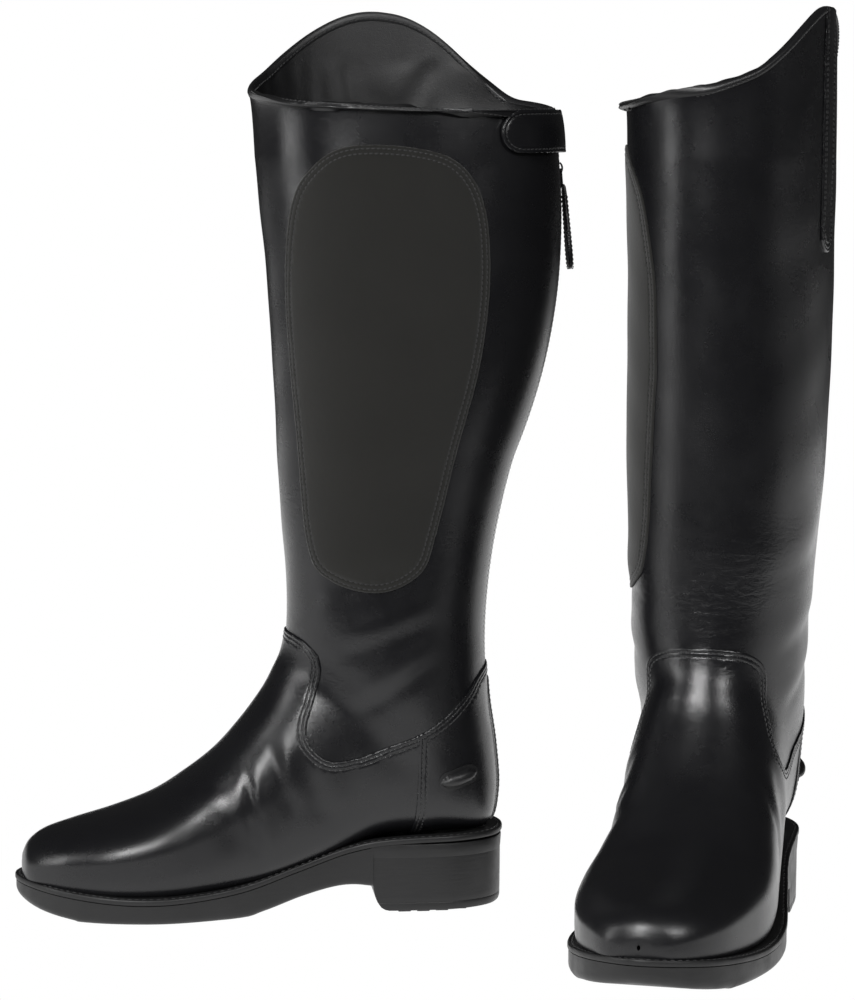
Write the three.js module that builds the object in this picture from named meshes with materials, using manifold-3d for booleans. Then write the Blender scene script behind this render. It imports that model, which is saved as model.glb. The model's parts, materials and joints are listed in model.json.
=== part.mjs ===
// A pair of tall leather riding boots: rear zip, higher outer top line, inner-calf grip panel,
// snap tab over the zip, spur rests and a welted rubber sole.  Millimetres, +Z up.
//
// Each boot is drawn as the right one in its own frame: x runs forward from the back of the heel,
// y towards the inner side of the leg, z up from the ground.  The left boot is its mirror image.
import * as THREE from 'three';
import { mergeVertices } from 'three/addons/utils/BufferGeometryUtils.js';
import Module from 'manifold-3d';

const wasm = await Module();
wasm.setup();

// ---- driving dimensions -------------------------------------------------------------------

const GAP = 0.3; // clearance between neighbouring pieces
const LEATHER = 1.8; // outer leather thickness
const LINING = 1.2;
const PATCH = 1.2; // leather or suede sewn on top of the shaft
const RING_POINTS = 16; // corners round one cross-section

// The back of the calf is an arc, so that the zip slider can run along it.
const BACK_ARC = { x: 315, z: 400, radius: 350, lowest: 250 };

// Cross-sections from the toe, up over the instep, to the top of the shaft.  Each one is a ring
// between its top (front) point and its bottom (back) point.
// [frontX, frontZ, backX, backZ, halfWidth, shiftInwards, frontFullness, backFullness]
const SECTIONS = [
  [281, 34, 281, 19, 10, 4, 1.9, 2.5],
  [277, 41, 278, 16, 20, 3.5, 1.9, 3.5],
  [268, 47, 269, 14, 30, 2.5, 1.9, 4.5],
  [252, 52, 252, 12.5, 40.5, 2.5, 1.9, 5.5],
  [228, 58.5, 228, 11.5, 48.5, 2.5, 2.0, 6.5],
  [205, 67, 200, 11, 52, 1, 2.0, 6.5],
  [187, 78, 172, 12.5, 50.5, -0.5, 2.1, 5.5],
  [169, 92, 142, 18, 47.5, -0.5, 2.2, 4.8],
  [154, 109, 108, 29.5, 45.5, 0.5, 2.2, 4],
  [142, 126, 72, 41.5, 44, 1.5, 2.2, 3.0],
  [135, 139, 36, 43.5, 43.5, 2, 2.2, 2.8],
  [130, 149, 10, 46, 43.5, 2, 2.2, 2.6],
  [127, 160, 3, 66, 45.5, 2.5, 2.2, 2.4],
  [126, 172, 4.5, 95, 48, 3, 2.2, 2.3],
  [126, 186, 8.5, 126, 49.5, 3, 2.2, 2.2],
  [127, 204, 9.8, 158, 51, 2, 2.2, 2.2],
  [128.5, 226, 7.5, 192, 52.5, 1, 2.2, 2.2],
  [130, 252, 1.5, 228, 54, 0, 2.2, 2.2],
  [131.5, 280, 0, 262, 55.6, 0, 2.2, 2.2],
  [133, 311, 0, 296, 56.2, 0, 2.2, 2.2],
  [135, 342, 0, 330, 56.6, 0, 2.2, 2.2],
  [137, 374, 0, 364, 56.9, 0, 2.2, 2.2],
  [140, 406, 0, 398, 57.2, 0, 2.2, 2.2],
  [143, 438, 0, 432, 57.6, 0, 2.2, 2.2],
];
const TOP_SECTION = [147, 474, 0, 466, 57.9, 0, 2.2, 2.2];
const HALFWAY_TO_TOP = 0.5; // one more ring between the last listed one and the rim

// Height of the rim round the leg: 0 degrees is the front, 90 the outer side, 270 the inner side.
const RIM = [
  [0, 474], [30, 486], [45, 498], [60, 511], [73, 520], [84, 523], [94, 520], [106, 509],
  [120, 490], [140, 471], [180, 466], [230, 464], [270, 463.5], [315, 466], [360, 474],
];
const BINDING_HEIGHT = 2.5;

// Seam between shaft and foot, from the front of the ankle to the foot of the zip, in side view.
const FOOT_SEAM = [
  [150, 165], [125, 162.5], [112, 154], [108.5, 143], [112, 127], [117, 111], [115, 100],
  [104, 91.5], [88, 93], [71, 99], [53, 106], [39, 115], [24, 128.5], [13, 141], [-8, 150],
];
const COUNTER_SEAM = [[52, 112], [52.5, 98], [53.5, 60], [59, 30]];

// Inner-calf grip panel in side view.
const GRIP_OUTLINE = [
  [92, 444], [112, 433], [124, 410], [127, 360], [121, 278], [115, 214], [102, 196], [75, 190],
  [52, 201], [43, 224], [31, 272], [18, 321], [12.5, 370], [16, 411], [30, 434], [55, 443],
];

const ZIP = { slot: 11, tapeEdge: 11, teeth: 3.1, halfGap: 0.9, foot: 141, top: 462, stopHeight: 4 };
const COIL = { outerDepth: 1.9, innerDepth: 3.6 };
const TAPE = { thickness: 0.9, underCoil: 0.5, foot: 146 };
const GUARD = { outerDepth: 6.2, innerDepth: 7.4, halfWidth: 16, low: 145, high: 455 };

// Slider and puller, as distances out of the back of the leg from the back line.
const SLIDER = { z: 431, halfWidth: 4.6, halfLength: 6 };
const SLIDER_PLATES = { topLow: -1.6, topHigh: 0.2, bottomLow: -5, bottomHigh: -4 };
const SLIDER_POST = { halfWidth: 0.55, overlap: 0.1 };
const BAIL = { halfWidth: 1.6, halfLength: 3.5, high: 2.6, bar: 1, holeHigh: 1.9 };
const LINK = { low: 0.6, high: 1.5, halfWidth: 3.1, bar: 1, length: 12, topBar: 0.6, footBar: 3.5 };
const TAG = { halfWidth: 7.5, topHalfWidth: 3.2, length: 47, thickness: 2, lift: 0.9 };

const SNAP_TAB = { low: 440, high: 463.5, frontX: 7, base: 2.2, thickness: 2, anchorX: -10 };
const SNAP = { radius: 4, sides: 12, ring: SECTIONS.length, corner: 9 };
const SNAP_HEIGHTS = { studTop: 0.9, socketLow: 1.2 };
const SWAGGER = { x: 68, halfWidth: 12, low: 384 };
const SPUR_REST = { x: 29, z: 80, halfLength: 12, radius: 5.8, tilt: 0.3, depth: 5 };
const BACKSTRAP = { halfWidth: 9, low: 49, high: 134 };

// Welt and sole: outline seen from above, and heights along the foot in side view.
const SOLE_OUTLINE = [
  [-1, 0], [6, 24], [28, 38], [60, 40.5], [95, 38], [130, 41], [165, 50], [200, 57.5],
  [234, 53.5], [260, 41.5], [277, 25], [285.5, 6], [281.5, -14], [267, -33], [240, -47],
  [205, -55], [170, -55.5], [130, -49.5], [95, -44], [60, -42], [28, -38], [6, -24],
];
const WELT_TOP = [
  [-8, 46], [60, 44.5], [90, 40], [120, 30], [150, 20.5], [180, 16.2], [215, 15], [250, 17.5],
  [292, 22.5],
];
const WELT_THICKNESS = 4;
const SOLE_BOTTOM = [
  [292, 13], [274, 5], [252, 0.8], [240, 0], [162, 0], [142, 3.2], [120, 10.5], [102, 15.3],
  [90, 16.6], [78.3, 15.6],
];
const SOLE_STEPS = { welt: 0, outsole: 0.6, heelBlock: 1.2, heelCap: 1.8 }; // inset of each edge
const HEEL = { frontX: 78, top: 33, capHeight: 6, lowerFrontX: 76, capFrontX: 71 };
const HEEL_BREAST = [[77, 9], [78, 15]]; // curve at the front of the heel block
const FOOTBED = { depth: 2.4, insoleHeight: 7, shankHeight: 4, shankHalfWidth: 7 };
const TOE_PUFF = { fromX: 232, fromZ: 29 };
const STIFFENER = { toX: 50, low: 52, high: 88 };

// Where the two boots stand: heading of the toe, and the place of the heel's back edge.
const RIGHT_PLACE = { x: 0, y: 0, heading: 185.5 };
const LEFT_PLACE = { x: 147, y: 29, heading: -105.5 };

// ---- materials ----------------------------------------------------------------------------

const paint = (color, roughness, metalness = 0) =>
  new THREE.MeshStandardMaterial({ color, roughness, metalness });
const LEATHER_PAINT = paint(0x17171a, 0.35);
const SUEDE_PAINT = paint(0x282825, 0.95);
const RUBBER_PAINT = paint(0x1b1b1c, 0.6);
const LINING_PAINT = paint(0x1c1c1e, 0.6);
const ZIP_PAINT = paint(0x101012, 0.7);
const METAL_PAINT = paint(0x2a2a2c, 0.35, 0.9);
const BOARD_PAINT = paint(0x6b5136, 0.9);

// ---- solids -------------------------------------------------------------------------------

function solidFromTriangles(points, triangles) {
  const vertProperties = new Float32Array(points.flatMap((p) => [p.x, p.y, p.z]));
  const triVerts = new Uint32Array(triangles.flat());
  return new wasm.Manifold(new wasm.Mesh({ numProp: 3, vertProperties, triVerts }));
}

function solidFromGeometry(geometry) {
  const bare = geometry.clone();
  bare.deleteAttribute('normal');
  bare.deleteAttribute('uv');
  const merged = mergeVertices(bare, 1e-4);
  const vertProperties = new Float32Array(merged.attributes.position.array);
  const triVerts = new Uint32Array(merged.index.array);
  return new wasm.Manifold(new wasm.Mesh({ numProp: 3, vertProperties, triVerts }));
}

function meshFromSolid(name, solid, material) {
  const { vertProperties, triVerts } = solid.getMesh();
  const geometry = new THREE.BufferGeometry();
  geometry.setAttribute('position', new THREE.BufferAttribute(new Float32Array(vertProperties), 3));
  geometry.setIndex(new THREE.BufferAttribute(new Uint32Array(triVerts), 1));
  geometry.computeVertexNormals();
  const mesh = new THREE.Mesh(geometry, material);
  mesh.name = name;
  return mesh;
}

const shapeFrom = (outline) => new THREE.Shape(outline.map(([a, b]) => new THREE.Vector2(a, b)));

// A prism whose outline is drawn in the x-z plane and which spans y from yLow to yHigh.
function sidePrism(outline, yLow, yHigh) {
  const geometry = new THREE.ExtrudeGeometry(shapeFrom(outline),
    { depth: yHigh - yLow, bevelEnabled: false });
  geometry.rotateX(Math.PI / 2);
  geometry.translate(0, yHigh, 0);
  return solidFromGeometry(geometry);
}

// A prism whose outline is drawn in the x-y plane and which spans z from zLow to zHigh.
function planPrism(outline, zLow, zHigh) {
  const geometry = new THREE.ExtrudeGeometry(shapeFrom(outline),
    { depth: zHigh - zLow, bevelEnabled: false });
  geometry.translate(0, 0, zLow);
  return solidFromGeometry(geometry);
}

function box(xLow, xHigh, yLow, yHigh, zLow, zHigh) {
  const geometry = new THREE.BoxGeometry(xHigh - xLow, yHigh - yLow, zHigh - zLow);
  geometry.translate((xLow + xHigh) / 2, (yLow + yHigh) / 2, (zLow + zHigh) / 2);
  return solidFromGeometry(geometry);
}

function smoothLine(points, steps) {
  const line = new THREE.SplineCurve(points.map(([a, b]) => new THREE.Vector2(a, b)));
  return line.getPoints(steps).map((p) => [p.x, p.y]);
}

// Points moved sideways, to the left of the direction in which the line runs.
function shiftLine(line, distance) {
  return line.map(([a, b], i) => {
    const [a0, b0] = line[Math.max(i - 1, 0)];
    const [a1, b1] = line[Math.min(i + 1, line.length - 1)];
    const length = Math.hypot(a1 - a0, b1 - b0);
    return [a - ((b1 - b0) / length) * distance, b + ((a1 - a0) / length) * distance];
  });
}

function closedOutline(points, steps) {
  const line = smoothLine([...points, points[0]], steps);
  return line.slice(0, -1);
}

// ---- form of the boot ---------------------------------------------------------------------

function backX(z) {
  const { x, z: centre, radius } = BACK_ARC;
  return x - Math.sqrt(radius ** 2 - (z - centre) ** 2);
}

function rimHeight(angle) {
  const degrees = ((THREE.MathUtils.radToDeg(angle) % 360) + 360) % 360;
  const i = RIM.findIndex(([a]) => a > degrees);
  const [a0, z0] = RIM[i - 1];
  const [a1, z1] = RIM[i];
  return THREE.MathUtils.lerp(z0, z1, THREE.MathUtils.smoothstep(degrees, a0, a1));
}

// The ring's corners start half a step off the front, so that the front, back and sides are flat
// facets lying on the true outline.
function ringPoints([frontX, frontZ, tableBackX, backZ, halfWidth, shift, frontFull, backFull]) {
  const rearX = backZ > BACK_ARC.lowest ? backX(backZ) : tableBackX;
  const middle = new THREE.Vector3((frontX + rearX) / 2, shift, (frontZ + backZ) / 2);
  const half = new THREE.Vector3((frontX - rearX) / 2, 0, (frontZ - backZ) / 2);
  const flat = Math.cos(Math.PI / RING_POINTS);
  const power = (value, fullness) =>
    Math.sign(value) * Math.pow(Math.abs(value) / flat, 2 / fullness);
  return Array.from({ length: RING_POINTS }, (_, k) => {
    const angle = ((k + 0.5) / RING_POINTS) * 2 * Math.PI;
    const fullness = Math.cos(angle) > 0 ? frontFull : backFull;
    const point = middle.clone().addScaledVector(half, power(Math.cos(angle), fullness));
    point.y -= halfWidth * power(Math.sin(angle), fullness);
    return point;
  });
}

const blendSections = (a, b, t) => a.map((value, i) => THREE.MathUtils.lerp(value, b[i], t));

function formRings() {
  const last = SECTIONS[SECTIONS.length - 1];
  const rings = SECTIONS.map(ringPoints);
  for (const t of [HALFWAY_TO_TOP, 1]) {
    const ring = ringPoints(blendSections(last, TOP_SECTION, t));
    ring.forEach((point, k) => {
      const flatRim = THREE.MathUtils.lerp(TOP_SECTION[3], TOP_SECTION[1], 0.5);
      const angle = ((k + 0.5) / RING_POINTS) * 2 * Math.PI;
      point.z += (rimHeight(angle) - BINDING_HEIGHT - GAP - flatRim
        - (TOP_SECTION[1] - TOP_SECTION[3]) * 0.5 * Math.cos(angle)) * t;
    });
    rings.push(ring);
  }
  return rings;
}

const RINGS = formRings();

function ringMiddle(ring) {
  return ring.reduce((sum, p) => sum.add(p), new THREE.Vector3()).divideScalar(ring.length);
}

function outwardNormal(i, k) {
  const before = RINGS[Math.max(i - 1, 0)];
  const after = RINGS[Math.min(i + 1, RINGS.length - 1)];
  const ring = RINGS[i];
  const along = after[k].clone().sub(before[k]);
  const across = ring[(k + 1) % RING_POINTS].clone().sub(ring[(k + RING_POINTS - 1) % RING_POINTS]);
  const normal = along.cross(across).normalize();
  const outward = ring[k].clone().sub(ringMiddle(ring));
  return normal.dot(outward) < 0 ? normal.negate() : normal;
}

const NORMALS = RINGS.map((ring, i) => ring.map((_, k) => outwardNormal(i, k)));

// The form's rings moved outwards along its normals.
function offsetRings(offset) {
  return RINGS.map((ring, i) => ring.map((p, k) => p.clone().addScaledVector(NORMALS[i][k], offset)));
}

function toeMiddle(rings, offset) {
  return ringMiddle(rings[0]).add(new THREE.Vector3(offset * 0.4, 0, 0));
}

// Triangles of one sheet of rings, facing outwards, with its toe closed.
function sheetTriangles(ringCount, first, toeIndex) {
  const at = (i, k) => first + i * RING_POINTS + (k % RING_POINTS);
  const triangles = [];
  for (let k = 0; k < RING_POINTS; k += 1) {
    triangles.push([toeIndex, at(0, k), at(0, k + 1)]);
    for (let i = 0; i + 1 < ringCount; i += 1) {
      triangles.push([at(i, k), at(i + 1, k), at(i + 1, k + 1)]);
      triangles.push([at(i, k), at(i + 1, k + 1), at(i, k + 1)]);
    }
  }
  return triangles;
}

const flip = (triangles) => triangles.map(([a, b, c]) => [a, c, b]);

// A boot-shaped layer between two offsets of the form, open at the top.
function layer(outerOffset, innerOffset) {
  const outer = offsetRings(outerOffset);
  const inner = offsetRings(innerOffset);
  const count = outer.length;
  const half = count * RING_POINTS;
  const points = [...outer.flat(), ...inner.flat(),
    toeMiddle(outer, outerOffset), toeMiddle(inner, innerOffset)];
  const triangles = [...sheetTriangles(count, 0, 2 * half),
    ...flip(sheetTriangles(count, half, 2 * half + 1))];
  const rim = half - RING_POINTS;
  for (let k = 0; k < RING_POINTS; k += 1) {
    const next = (k + 1) % RING_POINTS;
    triangles.push([rim + k, half + rim + k, half + rim + next]);
    triangles.push([rim + k, half + rim + next, rim + next]);
  }
  return outwardSolid(points, triangles);
}

// The whole form as a solid block, used to hollow what it stands in.
function formBlock(offset) {
  const rings = offsetRings(offset);
  const half = rings.length * RING_POINTS;
  const points = [...rings.flat(), toeMiddle(rings, offset), ringMiddle(rings[rings.length - 1])];
  const triangles = sheetTriangles(rings.length, 0, half);
  for (let k = 0; k < RING_POINTS; k += 1) {
    const rim = half - RING_POINTS;
    triangles.push([half + 1, rim + ((k + 1) % RING_POINTS), rim + k]);
  }
  return outwardSolid(points, triangles);
}

function outwardSolid(points, triangles) {
  const solid = solidFromTriangles(points, triangles);
  return solid.volume() > 0 ? solid : solidFromTriangles(points, flip(triangles));
}

const layerCache = new Map();
function cachedLayer(outerOffset, innerOffset) {
  const key = `${outerOffset}/${innerOffset}`;
  if (!layerCache.has(key)) layerCache.set(key, layer(outerOffset, innerOffset));
  return layerCache.get(key);
}

// ---- regions used to cut the layers -------------------------------------------------------

// Distances beyond every edge of a boot, used as the open sides of a region.
const FAR = 400;
const ABOVE = 700;
const BELOW = -50;
const BACK_OF_LEG = 45; // everything round the zip lies behind this x
const seamLine = smoothLine(FOOT_SEAM, 22);

function aboveSeam() {
  const line = shiftLine(seamLine, -GAP / 2);
  return sidePrism([[FAR, line[0][1]], ...line, [-FAR, line.at(-1)[1]], [-FAR, ABOVE], [FAR, ABOVE]],
    -FAR, FAR);
}

function belowSeam(raise = 0) {
  const line = shiftLine(seamLine, GAP / 2 - raise);
  return sidePrism([[FAR, line[0][1]], ...line, [-FAR, line.at(-1)[1]], [-FAR, BELOW], [FAR, BELOW]],
    -FAR, FAR);
}

function behindCounterSeam(shift) {
  const line = COUNTER_SEAM.map(([x, z]) => [x + shift, z]);
  return sidePrism([[line[0][0], ABOVE], ...line, [line.at(-1)[0], BELOW], [-FAR, BELOW],
    [-FAR, ABOVE]], -FAR, FAR);
}

const backBox = (yLow, yHigh, zLow, zHigh) => box(-FAR, BACK_OF_LEG, yLow, yHigh, zLow, zHigh);
const zipSlot = (halfWidth) => backBox(-halfWidth, halfWidth, ZIP.foot, ABOVE);

// ---- uppers -------------------------------------------------------------------------------

const outerLeather = cachedLayer(0, -LEATHER);
const LINING_DEPTH = -(LEATHER + GAP);
const liningLayer = cachedLayer(LINING_DEPTH, LINING_DEPTH - LINING);

function shaft() {
  return outerLeather.intersect(aboveSeam()).subtract(zipSlot(ZIP.slot / 2));
}

function vamp() {
  return outerLeather.intersect(belowSeam()).subtract(behindCounterSeam(GAP / 2));
}

function counter() {
  return outerLeather.intersect(belowSeam()).intersect(behindCounterSeam(-GAP / 2))
    .subtract(zipSlot(ZIP.slot / 2));
}

function shaftLining() {
  return liningLayer.intersect(aboveSeam()).subtract(zipSlot(ZIP.tapeEdge + 1));
}

function topBinding() {
  const low = offsetRings(0).at(-1);
  const lowInner = offsetRings(LINING_DEPTH - LINING).at(-1);
  const raised = (ring, height) => ring.map((p) => p.clone().add(new THREE.Vector3(0, 0, height)));
  const loops = [raised(low, GAP), raised(low, GAP + BINDING_HEIGHT),
    raised(lowInner, GAP + BINDING_HEIGHT), raised(lowInner, GAP)];
  const at = (loop, k) => (loop % 4) * RING_POINTS + (k % RING_POINTS);
  const triangles = [];
  for (let loop = 0; loop < 4; loop += 1) {
    for (let k = 0; k < RING_POINTS; k += 1) {
      triangles.push([at(loop, k), at(loop, k + 1), at(loop + 1, k + 1)]);
      triangles.push([at(loop, k), at(loop + 1, k + 1), at(loop + 1, k)]);
    }
  }
  return outwardSolid(loops.flat(), triangles).subtract(zipSlot(ZIP.slot / 2));
}

// A patch sewn on the outside of the leather, cut to a side-view outline on one side of the boot.
function sewnPatch(outline, inner, thickness = PATCH) {
  const side = inner ? [1, FAR] : [-FAR, -1];
  return cachedLayer(GAP + thickness, GAP).intersect(sidePrism(outline, ...side));
}

const gripPanel = () => sewnPatch(closedOutline(GRIP_OUTLINE, 26), true);

function swaggerTab() {
  const { x, halfWidth, low } = SWAGGER;
  const round = Array.from({ length: 9 }, (_, i) => {
    const angle = Math.PI + (i / 8) * Math.PI;
    return [x + halfWidth * Math.cos(angle), low + halfWidth + halfWidth * Math.sin(angle)];
  });
  return sewnPatch([...round, [x + halfWidth, ABOVE], [x - halfWidth, ABOVE]], false);
}

function spurRest(inner) {
  const { x, z, halfLength, radius, tilt, depth } = SPUR_REST;
  const end = (sign) => Array.from({ length: 7 }, (_, i) => {
    const angle = -Math.PI / 2 + (i / 6) * Math.PI + (sign < 0 ? Math.PI : 0);
    const along = sign * (halfLength - radius) + radius * Math.cos(angle);
    const up = radius * Math.sin(angle);
    return [x + along * Math.cos(tilt) + up * Math.sin(tilt),
      z - along * Math.sin(tilt) + up * Math.cos(tilt)];
  });
  return sewnPatch([...end(1), ...end(-1)], inner, depth);
}

function backstrap() {
  const { halfWidth, low, high } = BACKSTRAP;
  return cachedLayer(GAP + PATCH, GAP).intersect(backBox(-halfWidth, halfWidth, low, high));
}

// ---- inner pieces -------------------------------------------------------------------------

// A band of a layer that lies within a few millimetres of the foot's underside.
function footbedRegion(xLow, xHigh, height, halfWidth) {
  const floorLine = SECTIONS.slice(1, 12).map(([, , x, z]) => [x, z])
    .filter(([x]) => x > xLow && x < xHigh);
  const upper = floorLine.map(([x, z]) => [x, z + height]).reverse();
  const lower = floorLine.map(([x, z]) => [x, z - 20]);
  return sidePrism([...lower, ...upper], -halfWidth, halfWidth);
}

function insole() {
  const depth = -(LEATHER + 2 * GAP + LINING);
  return cachedLayer(depth, depth - FOOTBED.depth)
    .intersect(footbedRegion(8, 279, FOOTBED.insoleHeight, FAR));
}

function shank() {
  return liningLayer.intersect(footbedRegion(50, 160, FOOTBED.shankHeight, FOOTBED.shankHalfWidth));
}

function toePuff() {
  return liningLayer.intersect(box(TOE_PUFF.fromX, FAR, -FAR, FAR, TOE_PUFF.fromZ, ABOVE));
}

function heelStiffener() {
  const { toX, low, high } = STIFFENER;
  return liningLayer.intersect(box(-FAR, toX, -FAR, FAR, low, high)).intersect(belowSeam(-GAP));
}

// ---- zip ----------------------------------------------------------------------------------

// The back line as points from the foot of the zip to the rim, moved in by a depth.
function backLine(depth, low, high) {
  const lower = SECTIONS.filter(([, , , z]) => z < BACK_ARC.lowest).slice(12)
    .map(([, , x, z]) => [x, z]);
  const arcSteps = 24;
  const arc = Array.from({ length: arcSteps + 1 }, (_, i) => {
    const z = THREE.MathUtils.lerp(BACK_ARC.lowest, 475, i / arcSteps);
    return [backX(z), z];
  });
  return shiftLine([...lower, ...arc], -depth).filter(([, z]) => z > low && z < high);
}

function backStrip(outerDepth, innerDepth, yLow, yHigh) {
  const outer = backLine(outerDepth, ZIP.foot + GAP, ZIP.top);
  const inner = backLine(innerDepth, ZIP.foot + GAP, ZIP.top);
  return sidePrism([...outer, ...inner.reverse()], yLow, yHigh);
}

function zipHalf(side) {
  const { halfGap, teeth, tapeEdge, top } = ZIP;
  const order = (a, b) => (side > 0 ? [a, b] : [-b, -a]);
  const coil = backStrip(COIL.outerDepth, COIL.innerDepth, ...order(halfGap, teeth));
  const tape = cachedLayer(LINING_DEPTH, LINING_DEPTH - TAPE.thickness)
    .intersect(backBox(...order(teeth - TAPE.underCoil, tapeEdge), TAPE.foot, top));
  return coil.add(tape);
}

function zipGuard() {
  const { outerDepth, innerDepth, halfWidth, low, high } = GUARD;
  return cachedLayer(-outerDepth, -innerDepth).intersect(backBox(-halfWidth, halfWidth, low, high));
}

function zipStop() {
  const halfWidth = ZIP.slot / 2 - GAP;
  return outerLeather
    .intersect(backBox(-halfWidth, halfWidth, ZIP.foot + GAP, ZIP.foot + ZIP.stopHeight));
}

// A group whose x points out of the back of the leg and whose z runs up the zip, at height z.
function zipFrame(z) {
  const group = new THREE.Group();
  group.position.set(backX(z), 0, z);
  const slope = Math.asin((BACK_ARC.z - z) / BACK_ARC.radius);
  group.rotation.set(0, slope, Math.PI, 'ZYX');
  return group;
}

// Slider in its zip frame: x outwards, z up the zip.
function zipSlider() {
  const { halfWidth, halfLength } = SLIDER;
  const { topLow, topHigh, bottomLow, bottomHigh } = SLIDER_PLATES;
  const { halfWidth: postHalf, overlap } = SLIDER_POST;
  const topPlate = box(topLow, topHigh, -halfWidth, halfWidth, -halfLength, halfLength);
  const post = box(bottomHigh - overlap, topLow + overlap, -postHalf, postHalf, 0, halfLength - 1);
  const bottomPlate = box(bottomLow, bottomHigh, -halfWidth, halfWidth, -halfLength, halfLength);
  return topPlate.add(post).add(bottomPlate).add(sliderBail());
}

// Bridge on the slider's outer plate, with a hole right through it for the link.
function sliderBail() {
  const { halfWidth, halfLength, high, bar, holeHigh } = BAIL;
  const { topHigh } = SLIDER_PLATES;
  return box(topHigh - SLIDER_POST.overlap, high, -halfWidth, halfWidth, -halfLength, halfLength)
    .subtract(box(topHigh, holeHigh, -halfWidth - bar, halfWidth + bar,
      -halfLength + bar, halfLength - bar));
}

// Link: a flat loop whose top bar lies in the slider's bail.
function zipLink() {
  const { low, high, halfWidth, bar, length, topBar, footBar } = LINK;
  return box(low, high, -halfWidth, halfWidth, -length, -topBar)
    .subtract(box(low - bar, high + bar, -halfWidth + bar, halfWidth - bar,
      -length + footBar, -topBar - bar));
}

// Leather tag: a leaf, narrow at the link and round at its lower end.
function zipTag() {
  const { halfWidth, topHalfWidth, length, thickness, lift } = TAG;
  const top = -LINK.length - GAP;
  const side = (sign) => [[sign * topHalfWidth, top],
    [sign * halfWidth * 0.6, top - length * 0.25],
    [sign * halfWidth, top - length * 0.7], [sign * halfWidth * 0.8, top - length * 0.92]];
  const outline = [...side(1), [0, top - length], ...side(-1).reverse()];
  const geometry = new THREE.ExtrudeGeometry(shapeFrom(outline),
    { depth: thickness, bevelEnabled: false });
  geometry.rotateX(Math.PI / 2);
  geometry.rotateZ(Math.PI / 2);
  geometry.translate(lift, 0, 0);
  return solidFromGeometry(geometry);
}

// ---- snap tab -----------------------------------------------------------------------------

const snapLayer = () => cachedLayer(SNAP_TAB.base + SNAP_TAB.thickness, SNAP_TAB.base);

function tabOutline() {
  const { low, high, frontX } = SNAP_TAB;
  const radius = (high - low) / 2;
  const round = Array.from({ length: 9 }, (_, i) => {
    const angle = -Math.PI / 2 + (i / 8) * Math.PI;
    return [frontX - radius + radius * Math.cos(angle), low + radius + radius * Math.sin(angle)];
  });
  return [...round, [-FAR, high], [-FAR, low]];
}

const snapTab = () => snapLayer().intersect(sidePrism(tabOutline(), 1, FAR));

function snapAnchor() {
  const { low, high, anchorX } = SNAP_TAB;
  return snapLayer().intersect(box(-FAR, anchorX, -FAR, -1, low, high));
}

// A disc lying on the facet of the form under the tab, between two heights above it.
function snapDisc(low, high) {
  const { radius, sides, ring, corner } = SNAP;
  const corners = [RINGS[ring][corner], RINGS[ring][corner + 1],
    RINGS[ring + 1][corner + 1], RINGS[ring + 1][corner]];
  const centre = ringMiddle(corners);
  const normal = corners[2].clone().sub(corners[0]).cross(corners[3].clone().sub(corners[1]))
    .normalize();
  if (normal.y < 0) normal.negate();
  const geometry = new THREE.CylinderGeometry(radius, radius, high - low, sides);
  geometry.applyQuaternion(new THREE.Quaternion().setFromUnitVectors(
    new THREE.Vector3(0, 1, 0), normal));
  const place = centre.addScaledVector(normal, (low + high) / 2);
  geometry.translate(place.x, place.y, place.z);
  return solidFromGeometry(geometry);
}

// ---- sole ---------------------------------------------------------------------------------

const soleOutline = closedOutline(SOLE_OUTLINE, 34);
const weltLine = smoothLine(WELT_TOP, 12);
const weltBottom = weltLine.map(([x, z]) => [x, z - WELT_THICKNESS]);

function insetOutline(distance) {
  return shiftLine([soleOutline.at(-1), ...soleOutline, soleOutline[0]], -distance).slice(1, -1);
}

function welt() {
  const band = sidePrism([...weltLine, ...weltBottom.slice().reverse()], -FAR, FAR);
  return planPrism(insetOutline(SOLE_STEPS.welt), BELOW, FAR).intersect(band).subtract(formBlock(GAP));
}

function outsole() {
  const top = weltBottom.map(([x, z]) => [x, z - GAP]);
  const bottom = [...SOLE_BOTTOM, [HEEL.frontX + GAP, HEEL.top], [-8, HEEL.top]];
  return planPrism(insetOutline(SOLE_STEPS.outsole), BELOW, FAR)
    .intersect(sidePrism([...top, ...bottom], -FAR, FAR)).subtract(formBlock(GAP));
}

function heelBlock() {
  const { frontX, top, capHeight, lowerFrontX } = HEEL;
  const outline = [[-8, capHeight + GAP], [lowerFrontX, capHeight + GAP], ...HEEL_BREAST,
    [frontX, top - GAP], [-8, top - GAP]];
  return planPrism(insetOutline(SOLE_STEPS.heelBlock), BELOW, FAR).intersect(sidePrism(outline, -FAR, FAR));
}

function heelCap() {
  const { capHeight, lowerFrontX, capFrontX } = HEEL;
  const outline = [[-8, 0], [capFrontX, 0], [lowerFrontX, capHeight], [-8, capHeight]];
  return planPrism(insetOutline(SOLE_STEPS.heelCap), BELOW, FAR).intersect(sidePrism(outline, -FAR, FAR));
}

// ---- one boot -----------------------------------------------------------------------------

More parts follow.
